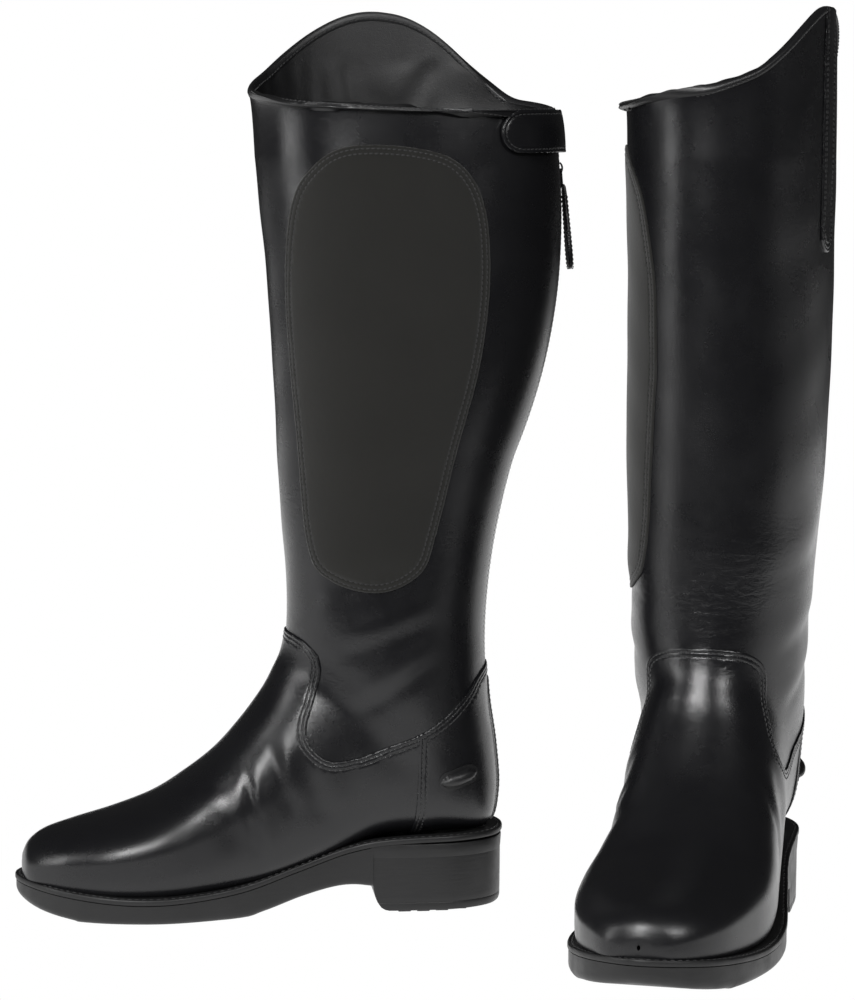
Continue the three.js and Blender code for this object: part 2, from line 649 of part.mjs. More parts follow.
const stillPieces = [
  ['outsole', outsole(), RUBBER_PAINT],
  ['heel_block', heelBlock(), RUBBER_PAINT],
  ['heel_cap', heelCap(), RUBBER_PAINT],
  ['welt', welt(), RUBBER_PAINT],
  ['insole', insole(), BOARD_PAINT],
  ['shank', shank(), METAL_PAINT],
  ['toe_puff', toePuff(), BOARD_PAINT],
  ['heel_stiffener', heelStiffener(), BOARD_PAINT],
  ['vamp', vamp(), LEATHER_PAINT],
  ['counter', counter(), LEATHER_PAINT],
  ['backstrap', backstrap(), LEATHER_PAINT],
  ['spur_rest_inner', spurRest(true), LEATHER_PAINT],
  ['spur_rest_outer', spurRest(false), LEATHER_PAINT],
  ['shaft', shaft(), LEATHER_PAINT],
  ['shaft_lining', shaftLining(), LINING_PAINT],
  ['grip_panel', gripPanel(), SUEDE_PAINT],
  ['top_binding', topBinding(), LEATHER_PAINT],
  ['swagger_tab', swaggerTab(), LEATHER_PAINT],
  ['zip_half_inner', zipHalf(1), ZIP_PAINT],
  ['zip_half_outer', zipHalf(-1), ZIP_PAINT],
  ['zip_guard', zipGuard(), LEATHER_PAINT],
  ['zip_stop', zipStop(), METAL_PAINT],
  ['snap_anchor', snapAnchor(), LEATHER_PAINT],
  ['snap_tab', snapTab(), LEATHER_PAINT],
  ['snap_stud', snapDisc(GAP, SNAP_HEIGHTS.studTop), METAL_PAINT],
  ['snap_socket', snapDisc(SNAP_HEIGHTS.socketLow, SNAP_TAB.base - GAP), METAL_PAINT],
];
const sliderPieces = [
  ['zip_slider', zipSlider(), METAL_PAINT],
  ['zip_link', zipLink(), METAL_PAINT],
  ['zip_tag', zipTag(), LEATHER_PAINT],
];

function boot(side) {
  const group = new THREE.Group();
  for (const [name, solid, material] of stillPieces) {
    group.add(meshFromSolid(`${side}_${name}`, solid, material));
  }
  const sliderFrame = zipFrame(SLIDER.z);
  for (const [name, solid, material] of sliderPieces) {
    sliderFrame.add(meshFromSolid(`${side}_${name}`, solid, material));
  }
  group.add(sliderFrame);
  return group;
}

function placed(group, { x, y, heading }) {
  group.rotation.z = THREE.MathUtils.degToRad(heading);
  group.position.set(x, y, 0);
  return group;
}

const rightBoot = placed(boot('right'), RIGHT_PLACE);
const leftBoot = placed(boot('left'), LEFT_PLACE);
leftBoot.scale.y = -1;

// The pair stands with the middle of its box over the origin.
const pair = new THREE.Group();
pair.add(rightBoot, leftBoot);
pair.updateMatrixWorld(true);
const middle = new THREE.Box3().setFromObject(pair, true).getCenter(new THREE.Vector3());
pair.position.set(-middle.x, -middle.y, 0);

export default pair;
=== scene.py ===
import json
import math

import bmesh
import bpy
import numpy as np
from mathutils import Matrix, Vector
from mathutils.kdtree import KDTree


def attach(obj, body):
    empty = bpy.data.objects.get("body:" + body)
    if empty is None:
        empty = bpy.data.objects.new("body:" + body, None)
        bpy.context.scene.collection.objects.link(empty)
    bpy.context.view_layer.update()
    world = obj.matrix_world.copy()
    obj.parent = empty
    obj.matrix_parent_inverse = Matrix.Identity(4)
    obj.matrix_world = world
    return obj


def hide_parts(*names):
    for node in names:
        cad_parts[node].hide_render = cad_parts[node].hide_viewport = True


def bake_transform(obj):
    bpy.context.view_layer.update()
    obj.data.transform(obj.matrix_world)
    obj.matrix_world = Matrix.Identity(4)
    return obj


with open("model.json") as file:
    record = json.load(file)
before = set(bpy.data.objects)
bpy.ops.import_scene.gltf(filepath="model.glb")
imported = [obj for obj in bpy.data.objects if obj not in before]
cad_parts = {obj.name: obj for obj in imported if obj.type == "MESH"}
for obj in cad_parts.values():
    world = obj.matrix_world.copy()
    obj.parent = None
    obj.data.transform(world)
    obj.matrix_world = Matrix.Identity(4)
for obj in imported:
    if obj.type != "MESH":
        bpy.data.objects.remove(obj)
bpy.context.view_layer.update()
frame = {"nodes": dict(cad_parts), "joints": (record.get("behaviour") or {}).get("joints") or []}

MM = 0.001
SIDES = ("right", "left")

# ---- driving sizes, in millimetres, shared with the CAD model ------------------------------

LEATHER = 1.8
ARC_CENTRE = (315.0, 400.0)
ARC_RADIUS = 350.0
ARC_LOWEST = 250.0

# [frontX, frontZ, backX, backZ, halfWidth, shiftInwards, frontFullness, backFullness]
TOE_END = [281.9, 28.5, 281.9, 25.5, 1, 4, 2.0, 2.0]
SECTIONS = [
    [281, 34, 281, 19, 10, 4, 1.9, 2.5],
    [277, 41, 278, 16, 20, 3.5, 1.9, 3.5],
    [268, 47, 269, 14, 30, 2.5, 1.9, 4.5],
    [252, 52, 252, 12.5, 40.5, 2.5, 1.9, 5.5],
    [228, 58.5, 228, 11.5, 48.5, 2.5, 2.0, 6.5],
    [205, 67, 200, 11, 52, 1, 2.0, 6.5],
    [187, 78, 172, 12.5, 50.5, -0.5, 2.1, 5.5],
    [169, 92, 142, 18, 47.5, -0.5, 2.2, 4.8],
    [154, 109, 108, 29.5, 45.5, 0.5, 2.2, 4],
    [142, 126, 72, 41.5, 44, 1.5, 2.2, 3.0],
    [135, 139, 36, 43.5, 43.5, 2, 2.2, 2.8],
    [130, 149, 10, 46, 43.5, 2, 2.2, 2.6],
    [127, 160, 3, 66, 45.5, 2.5, 2.2, 2.4],
    [126, 172, 4.5, 95, 48, 3, 2.2, 2.3],
    [126, 186, 8.5, 126, 49.5, 3, 2.2, 2.2],
    [127, 204, 9.8, 158, 51, 2, 2.2, 2.2],
    [128.5, 226, 7.5, 192, 52.5, 1, 2.2, 2.2],
    [130, 252, 1.5, 228, 54, 0, 2.2, 2.2],
    [131.5, 280, -6.9, 262, 55.6, 0, 2.2, 2.2],
    [133, 311, -19.2, 296, 56.2, 0, 2.2, 2.2],
    [135, 342, -27.9, 330, 56.6, 0, 2.2, 2.2],
    [137, 374, -33.1, 364, 56.9, 0, 2.2, 2.2],
    [140, 406, -35.0, 398, 57.2, 0, 2.2, 2.2],
    [143, 438, -33.5, 432, 57.6, 0, 2.2, 2.2],
    [147, 474, -28.7, 466, 57.9, 0, 2.2, 2.2],
]
RIM = [
    [0, 474], [30, 486], [45, 498], [60, 511], [73, 520], [84, 523], [94, 520], [106, 509],
    [120, 490], [140, 471], [180, 466], [230, 464], [270, 463.5], [315, 466], [360, 474],
]
FOOT_SEAM = [
    [150, 165], [125, 162.5], [112, 154], [108.5, 143], [112, 127], [117, 111], [115, 100],
    [104, 91.5], [88, 93], [71, 99], [53, 106], [39, 115], [24, 128.5], [13, 141], [-8, 150],
]
COUNTER_SEAM = [[52, 112], [52.5, 98], [53.5, 60], [59, 30]]
GRIP_OUTLINE = [
    [92, 444], [112, 433], [124, 410], [127, 360], [121, 278], [115, 214], [102, 196], [75, 190],
    [52, 201], [43, 224], [31, 272], [18, 321], [12.5, 370], [16, 411], [30, 434], [55, 443],
]
BACK_OF_LEG = 45.0      # whatever lies behind this x belongs to the back of the leg
ZIP_SLOT = 5.5          # half the gap between the leather edges
ZIP_FOOT = 141.0
ZIP_TAPE = {"near": 2.6, "far": 11.0, "low": 146.0, "high": 461.0}
GUARD = {"half": 16.0, "low": 145.0, "high": 455.0}
BACKSTRAP = {"half": 9.0, "low": 49.0, "high": 134.0}
SLIDER_Z = 431.0
# The strap is sewn flat on the outer side and rises from there to pass over the snap.
TAB = {"low": 440.0, "high": 463.5, "front": 7.0, "base": 2.2, "anchor": -10.0,
       "sewn_base": 0.15, "rise": (-26.0, -13.0), "hinge_z": 452.0}
SWAGGER = {"x": 68.0, "half": 12.0, "low": 384.0}
SPUR = {"x": 29.0, "z": 80.0, "half": 12.0, "radius": 5.8, "tilt": 0.3,
        "flange": 1.1, "ridge": 3.8}
SOLE_OUTLINE = [
    [-1, 0], [6, 24], [28, 38], [60, 40.5], [95, 38], [130, 41], [165, 50], [200, 57.5],
    [234, 53.5], [260, 41.5], [277, 25], [285.5, 6], [281.5, -14], [267, -33], [240, -47],
    [205, -55], [170, -55.5], [130, -49.5], [95, -44], [60, -42], [28, -38], [6, -24],
]
WELT_TOP = [
    [-8, 46], [60, 44.5], [90, 40], [120, 30], [150, 20.5], [180, 16.2], [215, 15], [250, 17.5],
    [292, 22.5],
]
SOLE_BOTTOM = [
    [78.3, 15.6], [90, 16.6], [102, 15.3], [120, 10.5], [142, 3.2], [162, 0], [240, 0],
    [252, 0.8], [274, 5], [292, 13],
]

# ---- places of the two boots, from the frame ------------------------------------------------

joints = {joint["name"]: joint for joint in frame["joints"]}


def boot_matrix(side):
    """Matrix from a boot's own millimetre frame to the world."""
    travel = joints[f"{side}_zip_travel"]
    across = -Vector(travel["axis"])
    up = Vector((0, 0, 1))
    forward = across.cross(up)
    origin = Vector(travel["pos_m"]) - (forward * ARC_CENTRE[0] + up * ARC_CENTRE[1]) * MM
    if side == "left":
        across = -across
    matrix = Matrix((forward * MM, across * MM, up * MM)).transposed().to_4x4()
    matrix.translation = origin
    return matrix


BOOT = {side: boot_matrix(side) for side in SIDES}

# ---- curves -----------------------------------------------------------------------------------


def catmull(rows, steps):
    """Smooth rows through given rows, with a number of steps in each gap."""
    rows = np.asarray(rows, float)
    padded = np.vstack([2 * rows[0] - rows[1], rows, 2 * rows[-1] - rows[-2]])
    out = []
    for i in range(len(rows) - 1):
        a, b, c, d = padded[i:i + 4]
        for t in np.arange(steps) / steps:
            out.append(0.5 * (2 * b + (c - a) * t + (2 * a - 5 * b + 4 * c - d) * t ** 2
                              + (3 * b - a - 3 * c + d) * t ** 3))
    out.append(rows[-1])
    return np.array(out)


def closed_curve(points, steps):
    """Smooth closed outline through its points."""
    points = np.asarray(points, float)
    looped = np.vstack([points[-2:], points, points[:3]])
    return catmull(looped, steps)[2 * steps:-2 * steps - 1][:len(points) * steps]


def resample(line, spacing, closed=False):
    """Rows of a polyline, evenly spaced by its first three columns."""
    if closed:
        line = np.vstack([line, line[:1]])
    lengths = np.linalg.norm(np.diff(line[:, :3], axis=0), axis=1)
    along = np.concatenate([[0], np.cumsum(lengths)])
    count = max(int(round(along[-1] / spacing)), 2)
    wanted = np.linspace(0, along[-1], count + 1)
    return np.column_stack([np.interp(wanted, along, column) for column in line.T])


def back_x(z):
    """The back line of the calf, an arc above its lowest height."""
    return ARC_CENTRE[0] - np.sqrt(ARC_RADIUS ** 2 - (z - ARC_CENTRE[1]) ** 2)


def height_along(table, x):
    """Height at x of a smooth line through its points."""
    rows = catmull(table, 6)
    return np.interp(x, rows[:, 0], rows[:, 1])


def smoothstep(value, low, high):
    t = np.clip((value - low) / (high - low), 0, 1)
    return t * t * (3 - 2 * t)


RIM_EASING = 25          # degrees over which the rim's corners are eased


def smooth_rim():
    """Height of the rim at each degree round the leg, with its corners eased."""
    table = np.array(RIM, float)
    heights = np.interp(np.arange(360), table[:, 0], table[:, 1])
    window = np.hanning(RIM_EASING)
    eased = np.convolve(np.tile(heights, 3), window / window.sum(), "same")
    return eased[360:720]


RIM_HEIGHTS = smooth_rim()


def rim_height(angle):
    looped = np.append(RIM_HEIGHTS, RIM_HEIGHTS[0])
    return np.interp(np.degrees(angle) % 360, np.arange(361), looped)


# ---- skins: triangle meshes with a place and a normal at each corner ----------------------------


class Skin:
    """Rows hold place (3), normal (3) and any number of fields; tris index the rows."""

    def __init__(self, rows, tris):
        self.rows = rows
        self.tris = tris

    @property
    def places(self):
        return self.rows[:, 0:3]

    @property
    def normals(self):
        return self.rows[:, 3:6]

    def with_field(self, values):
        return Skin(np.column_stack([self.rows, values]), self.tris)

    def shape_only(self):
        return Skin(self.rows[:, :6], self.tris)


def split(skin, level, column=-1):
    """Cuts the triangles where a field passes a level, so that the line has its own corners."""
    value = skin.rows[:, column] - level
    value[np.abs(value) < 0.06] = 0
    sign = np.sign(value).astype(int)
    corner = sign[skin.tris]
    crossing = (corner.min(1) < 0) & (corner.max(1) > 0)
    tris = [skin.tris[~crossing]]
    rows = [skin.rows]
    count = len(skin.rows)
    made = {}
    extra = []
    new_tris = []

    def cut_point(a, b):
        key = (a, b) if a < b else (b, a)
        if key not in made:
            t = value[key[0]] / (value[key[0]] - value[key[1]])
            row = skin.rows[key[0]] * (1 - t) + skin.rows[key[1]] * t
            made[key] = count + len(extra)
            extra.append(row)
        return made[key]

    for tri in skin.tris[crossing]:
        signs = [sign[v] for v in tri]
        if 0 in signs:
            k = signs.index(0)
            a, b, c = tri[k], tri[(k + 1) % 3], tri[(k + 2) % 3]
            m = cut_point(b, c)
            new_tris += [(a, b, m), (a, m, c)]
            continue
        lone = signs.index(1) if signs.count(1) == 1 else signs.index(-1)
        a, b, c = tri[lone], tri[(lone + 1) % 3], tri[(lone + 2) % 3]
        m, n = cut_point(a, b), cut_point(a, c)
        new_tris += [(a, m, n), (m, b, c), (m, c, n)]
    if extra:
        rows.append(np.array(extra))
        tris.append(np.array(new_tris, int))
    return Skin(np.vstack(rows), np.vstack(tris))


def keep_above(skin, level=0.0, column=-1):
    """The part of a skin whose field is above a level."""
    skin = split(skin, level, column)
    middle = skin.rows[skin.tris, column].mean(1)
    tris = skin.tris[middle > level]
    used, tris = np.unique(tris, return_inverse=True)
    return Skin(skin.rows[used], tris.reshape(-1, 3))


def edge_links(tris, positive):
    """For each edge that a line crosses, the edges that the line crosses next to it."""
    corner = positive[tris]
    links = {}
    for tri in tris[corner.any(1) & ~corner.all(1)]:
        edges = []
        for a, b in zip(tri, np.roll(tri, -1)):
            if positive[a] != positive[b]:
                edges.append((a, b) if a < b else (b, a))
        links.setdefault(edges[0], []).append(edges[1])
        links.setdefault(edges[1], []).append(edges[0])
    return links


def edge_chains(links):
    """Runs of linked edges, the open ones first, each with whether it closes on itself."""
    unused = dict.fromkeys(links)
    ends = [edge for edge, near in links.items() if len(near) == 1]
    for start in ends + list(links):
        if start not in unused:
            continue
        chain = [start]
        del unused[start]
        while near := [edge for edge in links[chain[-1]] if edge in unused]:
            chain.append(near[0])
            del unused[near[0]]
        yield chain, len(chain) > 3 and start in links[chain[-1]]


def isolines(skin, values, level=0.0):
    """Polylines of place and normal along which a field has one value."""
    value = values - level
    value = np.where(np.abs(value) < 1e-6, 1e-6, value)
    lines = []
    for chain, closed in edge_chains(edge_links(skin.tris, value > 0)):
        a, b = np.array(chain).T
        t = (value[a] / (value[a] - value[b]))[:, None]
        line = skin.rows[a, :6] * (1 - t) + skin.rows[b, :6] * t
        if closed:
            line = np.vstack([line, line[:1]])
        if len(line) > 4:
            lines.append(line)
    return lines


def distance_to(skin, lines):
    """Distance of each corner from the nearest point of some polylines."""
    points = np.vstack([resample(line, 0.8)[:, :3] for line in lines])
    tree = KDTree(len(points))
    for i, point in enumerate(points):
        tree.insert(point, i)
    tree.balance()
    return np.array([tree.find(place)[2] for place in skin.places])


def side_distance(places, outline):
    """Signed distance from a closed outline in side view, positive inside it."""
    x, z = places[:, 0], places[:, 2]
    nearest = np.full(len(x), np.inf)
    inside = np.zeros(len(x), bool)
    for (ax, az), (bx, bz) in zip(outline, np.roll(outline, -1, axis=0)):
        length = (bx - ax) ** 2 + (bz - az) ** 2
        if length < 1e-12:
            continue
        t = np.clip(((x - ax) * (bx - ax) + (z - az) * (bz - az)) / length, 0, 1)
        nearest = np.minimum(nearest, np.hypot(x - ax - t * (bx - ax), z - az - t * (bz - az)))
        if az != bz:
            crosses = (az > z) != (bz > z)
            inside ^= crosses & (x < ax + (z - az) * (bx - ax) / (bz - az))
    return np.where(inside, nearest, -nearest)


def boundary_edges(tris):
    """Directed edges that belong to one triangle only."""
    edges = np.vstack([tris[:, [0, 1]], tris[:, [1, 2]], tris[:, [2, 0]]])
    ordered = np.sort(edges, axis=1)
    _, index, counts = np.unique(ordered, axis=0, return_index=True, return_counts=True)
    return edges[index[counts == 1]]


def thicken(skin, outer, inner):
    """Closed body between two heights above a skin, with a rim along its open edges."""
    outer = np.broadcast_to(outer, len(skin.rows))[:, None]
    inner = np.broadcast_to(inner, len(skin.rows))[:, None]
    count = len(skin.rows)
    verts = np.vstack([skin.places + skin.normals * outer, skin.places + skin.normals * inner])
    faces = skin.tris.tolist() + (skin.tris[:, ::-1] + count).tolist()
    faces += [(b, a, a + count, b + count) for a, b in boundary_edges(skin.tris).tolist()]
    return verts, faces


def profile_height(distance, profile):
    table = np.array(profile, float)
    return np.interp(distance, table[:, 0], table[:, 1])


EDGE_ZONE = 12.0         # a profile's points nearer than this to the edge get their own corners


def shaped_sheet(skin, lines, profile, inner):
    """A leather sheet whose outside follows a height profile, counted from its sewn edges."""
    skin = skin.shape_only().with_field(distance_to(skin, lines))
    for level, _ in profile[1:]:
        if level < EDGE_ZONE:
            skin = split(skin, level)
    return thicken(skin, profile_height(skin.rows[:, -1], profile), inner)


# ---- the form of the boot ---------------------------------------------------------------------

COLUMNS = 120            # columns on each half of a ring
FINE_STEPS = 8


def form_sections():
    """Fine rows of cross-section, and how far each has risen to the rim's shape (0 to 1)."""
    rows = catmull([TOE_END] + SECTIONS[:-1], FINE_STEPS)
    top = catmull([SECTIONS[-3], SECTIONS[-2], SECTIONS[-1]], 4 * FINE_STEPS)[4 * FINE_STEPS + 1:]
    rise = np.concatenate([np.zeros(len(rows)), np.linspace(0, 1, 4 * FINE_STEPS + 1)[1:]])
    rows = np.vstack([rows, top])
    # up to 12 mm above the arc's foot the rows keep their own back
    on_arc = rows[:, 3] > ARC_LOWEST + 12
    rows[on_arc, 2] = back_x(rows[on_arc, 3])
    return rows, rise


def ring_points(row, rise, angles):
    """Points round one cross-section; angle 0 is the front, and the outer side comes next."""
    front_x, front_z, rear_x, rear_z, half_width, shift, front_full, back_full = row
    cosine, sine = np.cos(angles), np.sin(angles)
    fullness = np.where(cosine > 0, front_full, back_full)
    along = np.sign(cosine) * np.abs(cosine) ** (2 / fullness)
    aside = np.sign(sine) * np.abs(sine) ** (2 / fullness)
    x = (front_x + rear_x) / 2 + (front_x - rear_x) / 2 * along
    z = (front_z + rear_z) / 2 + (front_z - rear_z) / 2 * along
    y = shift - half_width * aside
    z = z + rise * (rim_height(angles) - z)
    return np.column_stack([x, y, z])


def even_ring(row, rise):
    """One ring with its corners evenly spaced along each half."""
    halves = []
    for start in (0.0, math.pi):
        angles = np.linspace(start, start + math.pi, 361)
        points = ring_points(row, rise, angles)
        steps = np.linalg.norm(np.diff(ring_points(row, 0.0, angles), axis=0), axis=1)
        along = np.concatenate([[0], np.cumsum(steps)])
        wanted = np.linspace(0, along[-1], COLUMNS + 1)[:-1]
        halves.append(np.column_stack([np.interp(wanted, along, points[:, k]) for k in range(3)]))
    return np.vstack(halves)


def crease(places, start, end, width, depth, side):
    """A soft valley with a raised lip, along a line in side view, on one side of the boot."""
    ax, az = start
    bx, bz = end
    dx, dz = bx - ax, bz - az
    length = math.hypot(dx, dz)
    along = ((places[:, 0] - ax) * dx + (places[:, 2] - az) * dz) / length
    across = ((places[:, 0] - ax) * dz - (places[:, 2] - az) * dx) / length
    fade = smoothstep(along, -0.1 * length, 0.3 * length) * smoothstep(-along, -1.1 * length,
                                                                      -0.7 * length)
    facing = smoothstep(places[:, 1] * side, 2, 22)
    valley = -np.exp(-(across / width) ** 2)
    lip = 0.75 * np.exp(-((across - 1.9 * width) / (1.3 * width)) ** 2)
    return depth * fade * facing * (valley + lip)


CREASES = [  # start, end, width, depth, side (1 inner, -1 outer)
    ((152, 88), (144, 30), 2.6, 1.3, 1),
    ((138, 104), (128, 60), 4.0, 1.0, 1),
    ((122, 96), (104, 52), 6.0, 0.9, 1),
    ((170, 84), (160, 40), 7.0, 0.6, 1),
    ((150, 92), (146, 46), 4.0, 0.8, -1),
    ((132, 100), (118, 58), 6.0, 0.8, -1),
    ((88, 118), (40, 150), 5.0, 0.8, 1),
    ((100, 150), (40, 172), 6.0, 0.9, 1),
    ((112, 188), (50, 204), 7.0, 0.7, 1),
    ((92, 122), (40, 152), 6.0, 0.8, -1),
    ((104, 156), (40, 178), 7.0, 0.9, -1),
    ((116, 198), (56, 216), 8.0, 0.6, -1),
]


def leather_waves(places):
    """Slow unevenness of the hide and the folds over the ankle, in millimetres."""
    x, y, z = places.T
    slow = 0.35 * np.sin(x / 17 + 1.3 * np.sin(z / 41)) * np.sin(z / 29 + y / 23)
    slow += 0.22 * np.sin(x / 9 + z / 13 + 0.7) * np.sin(y / 11 - z / 19)
    shaft = smoothstep(z, 60, 200)
    total = slow * (0.35 + 0.65 * shaft) * (1 - 0.7 * smoothstep(z, 430, 460))
    for start, end, width, depth, side in CREASES:
        total += crease(places, start, end, width, depth, side)
    near_zip = np.exp(-(y / 12) ** 2) * smoothstep(-x, -30, -12) * smoothstep(z, 135, 150)
    return total * (1 - near_zip)


def grid_normals(grid):
    """Unit normals of a grid of rings, pointing out of the boot."""
    along = np.gradient(grid, axis=0)
    across = (np.roll(grid, -1, axis=1) - np.roll(grid, 1, axis=1)) / 2
    normals = np.cross(across, along)
    normals /= np.linalg.norm(normals, axis=2, keepdims=True) + 1e-12
    middle = grid.mean(axis=1, keepdims=True)
    facing = (normals * (grid - middle)).sum(axis=2).mean()
    return normals if facing > 0 else -normals


def form_grid(rippled):
    """Rings of the boot's outside and their normals, plain or with the hide's unevenness."""
    rows, rise = form_sections()
    grid = np.array([even_ring(row, lift) for row, lift in zip(rows, rise)])
    normals = grid_normals(grid)
    if rippled:
        flat = grid.reshape(-1, 3)
        waves = leather_waves(flat).reshape(grid.shape[:2])
        grid = grid + normals * waves[:, :, None]
        normals = grid_normals(grid)
    return grid, normals


def grid_skin(grid, normals):
    """The grid as a skin whose triangles face outwards."""
    rings, columns = grid.shape[:2]
    index = np.arange(rings * columns).reshape(rings, columns)
    a, b = index[:-1], index[1:]
    a_next, b_next = np.roll(a, -1, axis=1), np.roll(b, -1, axis=1)
    tris = np.concatenate([np.stack([a, a_next, b_next], -1).reshape(-1, 3),
                           np.stack([a, b_next, b], -1).reshape(-1, 3)])
    rows = np.column_stack([grid.reshape(-1, 3), normals.reshape(-1, 3)])
    skin = Skin(rows, tris)
    p, q, r = (skin.places[tris[:, k]] for k in range(3))
    facing = (np.cross(q - p, r - p) * skin.normals[tris[:, 0]]).sum(1).mean()
    return skin if facing > 0 else Skin(rows, tris[:, ::-1])


form, form_normals = form_grid(rippled=True)
hide = grid_skin(form, form_normals)

FAR = 500.0              # outlines run this far past the boot, and up to ABOVE
ABOVE = 900.0
seam_line = catmull(FOOT_SEAM, 8)
above_seam_outline = np.vstack([[[FAR, FOOT_SEAM[0][1]]], seam_line,
                                [[-FAR, FOOT_SEAM[-1][1]], [-FAR, ABOVE], [FAR, ABOVE]]])
counter_outline = np.vstack([[[COUNTER_SEAM[0][0], FAR]], catmull(COUNTER_SEAM, 6),
                             [[COUNTER_SEAM[-1][0], -FAR], [-FAR, -FAR], [-FAR, FAR]]])


def field_above_seam(places):
    return side_distance(places, above_seam_outline)


def field_behind_counter(places):
    return side_distance(places, counter_outline)


def field_zip_slot(places, half_width):
    """Negative inside the slot at the back of the leg."""
    x, y, z = places.T
    return np.maximum.reduce([np.abs(y) - half_width, x - BACK_OF_LEG, ZIP_FOOT - z])


def strip_field(strip):
    """Field for a strip down the back of the leg, from its half width and its two ends."""
    def field(places):
        x, y, z = places.T
        return np.minimum.reduce([strip["half"] - np.abs(y), BACK_OF_LEG - x,
                                  z - strip["low"], strip["high"] - z])
    return field


def cut(skin, *fields):
    """The part of a skin where every field is positive."""
    for field in fields:
        skin = keep_above(skin.shape_only().with_field(field(skin.places)))
    return skin.shape_only()


# ---- materials --------------------------------------------------------------------------------


class Paint:
    """Short way to write a node material."""

    def __init__(self, name):
        self.material = bpy.data.materials.new(name)
        self.material.use_nodes = True
        self.nodes = self.material.node_tree.nodes
        self.links = self.material.node_tree.links
        self.shader = self.nodes["Principled BSDF"]
        self.coordinates = self.nodes.new("ShaderNodeTexCoord").outputs["Object"]

    def set(self, **values):
        for name, value in values.items():
            self.shader.inputs[name.replace("_", " ")].default_value = value

    def stretched(self, x, y, z):
        node = self.nodes.new("ShaderNodeVectorMath")
        node.operation = "MULTIPLY"
        node.inputs[1].default_value = (x, y, z)
        self.links.new(self.coordinates, node.inputs[0])
        return node.outputs[0]

    def noise(self, scale, detail=3.0, roughness=0.55, vector=None, distortion=0.0):
        node = self.nodes.new("ShaderNodeTexNoise")
        node.inputs["Scale"].default_value = scale
        node.inputs["Detail"].default_value = detail
        node.inputs["Roughness"].default_value = roughness
        node.inputs["Distortion"].default_value = distortion
        self.links.new(vector or self.coordinates, node.inputs["Vector"])
        return node.outputs["Fac"]

    def cells(self, scale, vector=None):
        node = self.nodes.new("ShaderNodeTexVoronoi")
        node.feature = "DISTANCE_TO_EDGE"
        node.inputs["Scale"].default_value = scale
        self.links.new(vector or self.coordinates, node.inputs["Vector"])
        return node.outputs["Distance"]

    def remap(self, value, low, high, to_low=0.0, to_high=1.0):
        node = self.nodes.new("ShaderNodeMapRange")
        for name, number in zip(("From Min", "From Max", "To Min", "To Max"),
                                (low, high, to_low, to_high)):
            node.inputs[name].default_value = number
        self.links.new(value, node.inputs["Value"])
        return node.outputs["Result"]

    def math(self, operation, a, b):
        node = self.nodes.new("ShaderNodeMath")
        node.operation = operation
        for socket, value in zip(node.inputs, (a, b)):
            if isinstance(value, (int, float)):
                socket.default_value = value
            else:
                self.links.new(value, socket)
        return node.outputs[0]

    def height(self):
        """The z coordinate of the point at rest, in metres."""
        node = self.nodes.new("ShaderNodeSeparateXYZ")
        self.links.new(self.coordinates, node.inputs[0])
        return node.outputs["Z"]

    def colour(self, factor, dark, light):
        node = self.nodes.new("ShaderNodeMix")
        node.data_type = "RGBA"
        node.inputs[6].default_value = (*dark, 1)
        node.inputs[7].default_value = (*light, 1)
        self.links.new(factor, node.inputs["Factor"])
        self.links.new(node.outputs[2], self.shader.inputs["Base Color"])

    def rough(self, value):
        self.links.new(value, self.shader.inputs["Roughness"])

    def bumps(self, *layers):
        """Layers of (value, distance in millimetres), added one on the other."""
        previous = None
        for value, distance in layers:
            node = self.nodes.new("ShaderNodeBump")
            node.inputs["Strength"].default_value = 1.0
            node.inputs["Distance"].default_value = distance * MM
            self.links.new(value, node.inputs["Height"])
            if previous:
                self.links.new(previous, node.inputs["Normal"])
            previous = node.outputs["Normal"]
        self.links.new(previous, self.shader.inputs["Normal"])


def leather_paint(name, dark, light, gloss, grain=0.05, wrinkles=0.0):
    paint = Paint(name)
    blotch = paint.noise(14, 4, 0.6)
    paint.colour(blotch, dark, light)
    scuff = paint.noise(60, 5, 0.7)
    smear = paint.noise(9, 3, 0.5, distortion=1.5)
    mixed = paint.math("ADD", paint.math("MULTIPLY", scuff, 0.4), paint.math("MULTIPLY", smear, 0.6))
    paint.rough(paint.remap(mixed, 0.3, 0.7, gloss - 0.07, gloss + 0.09))
    pores = paint.remap(paint.cells(1500), 0.0, 0.35)
    fibre = paint.noise(650, 4, 0.6)
    layers = [(pores, grain * 0.5), (fibre, grain)]
    if wrinkles:
        fold = paint.noise(1, 4, 0.6, vector=paint.stretched(90, 90, 230), distortion=1.0)
        bend = paint.math("MULTIPLY", paint.remap(paint.height(), 0.10, 0.15),
                          paint.remap(paint.height(), 0.27, 0.19))
        patch = paint.remap(paint.noise(13, 2, 0.5), 0.46, 0.62)
        bend = paint.remap(paint.math("MULTIPLY", bend, patch), 0, 1, 0.08, 1)
        layers.append((paint.math("MULTIPLY", fold, bend), wrinkles))
    paint.bumps(*layers)
    paint.set(Specular_IOR_Level=0.5, Coat_Weight=0.12, Coat_Roughness=0.25)
    return paint.material


def suede_paint():
    paint = Paint("suede")
    nap = paint.noise(900, 6, 0.75)
    patch = paint.noise(22, 4, 0.6)
    paint.colour(paint.math("ADD", paint.math("MULTIPLY", nap, 0.45),
                            paint.math("MULTIPLY", patch, 0.55)),
                 (0.005, 0.005, 0.0041), (0.0135, 0.013, 0.011))
    paint.bumps((nap, 0.12), (paint.noise(180, 4, 0.6), 0.12))
    paint.set(Roughness=0.95, Sheen_Weight=0.25, Sheen_Roughness=0.6, Specular_IOR_Level=0.15)
    return paint.material


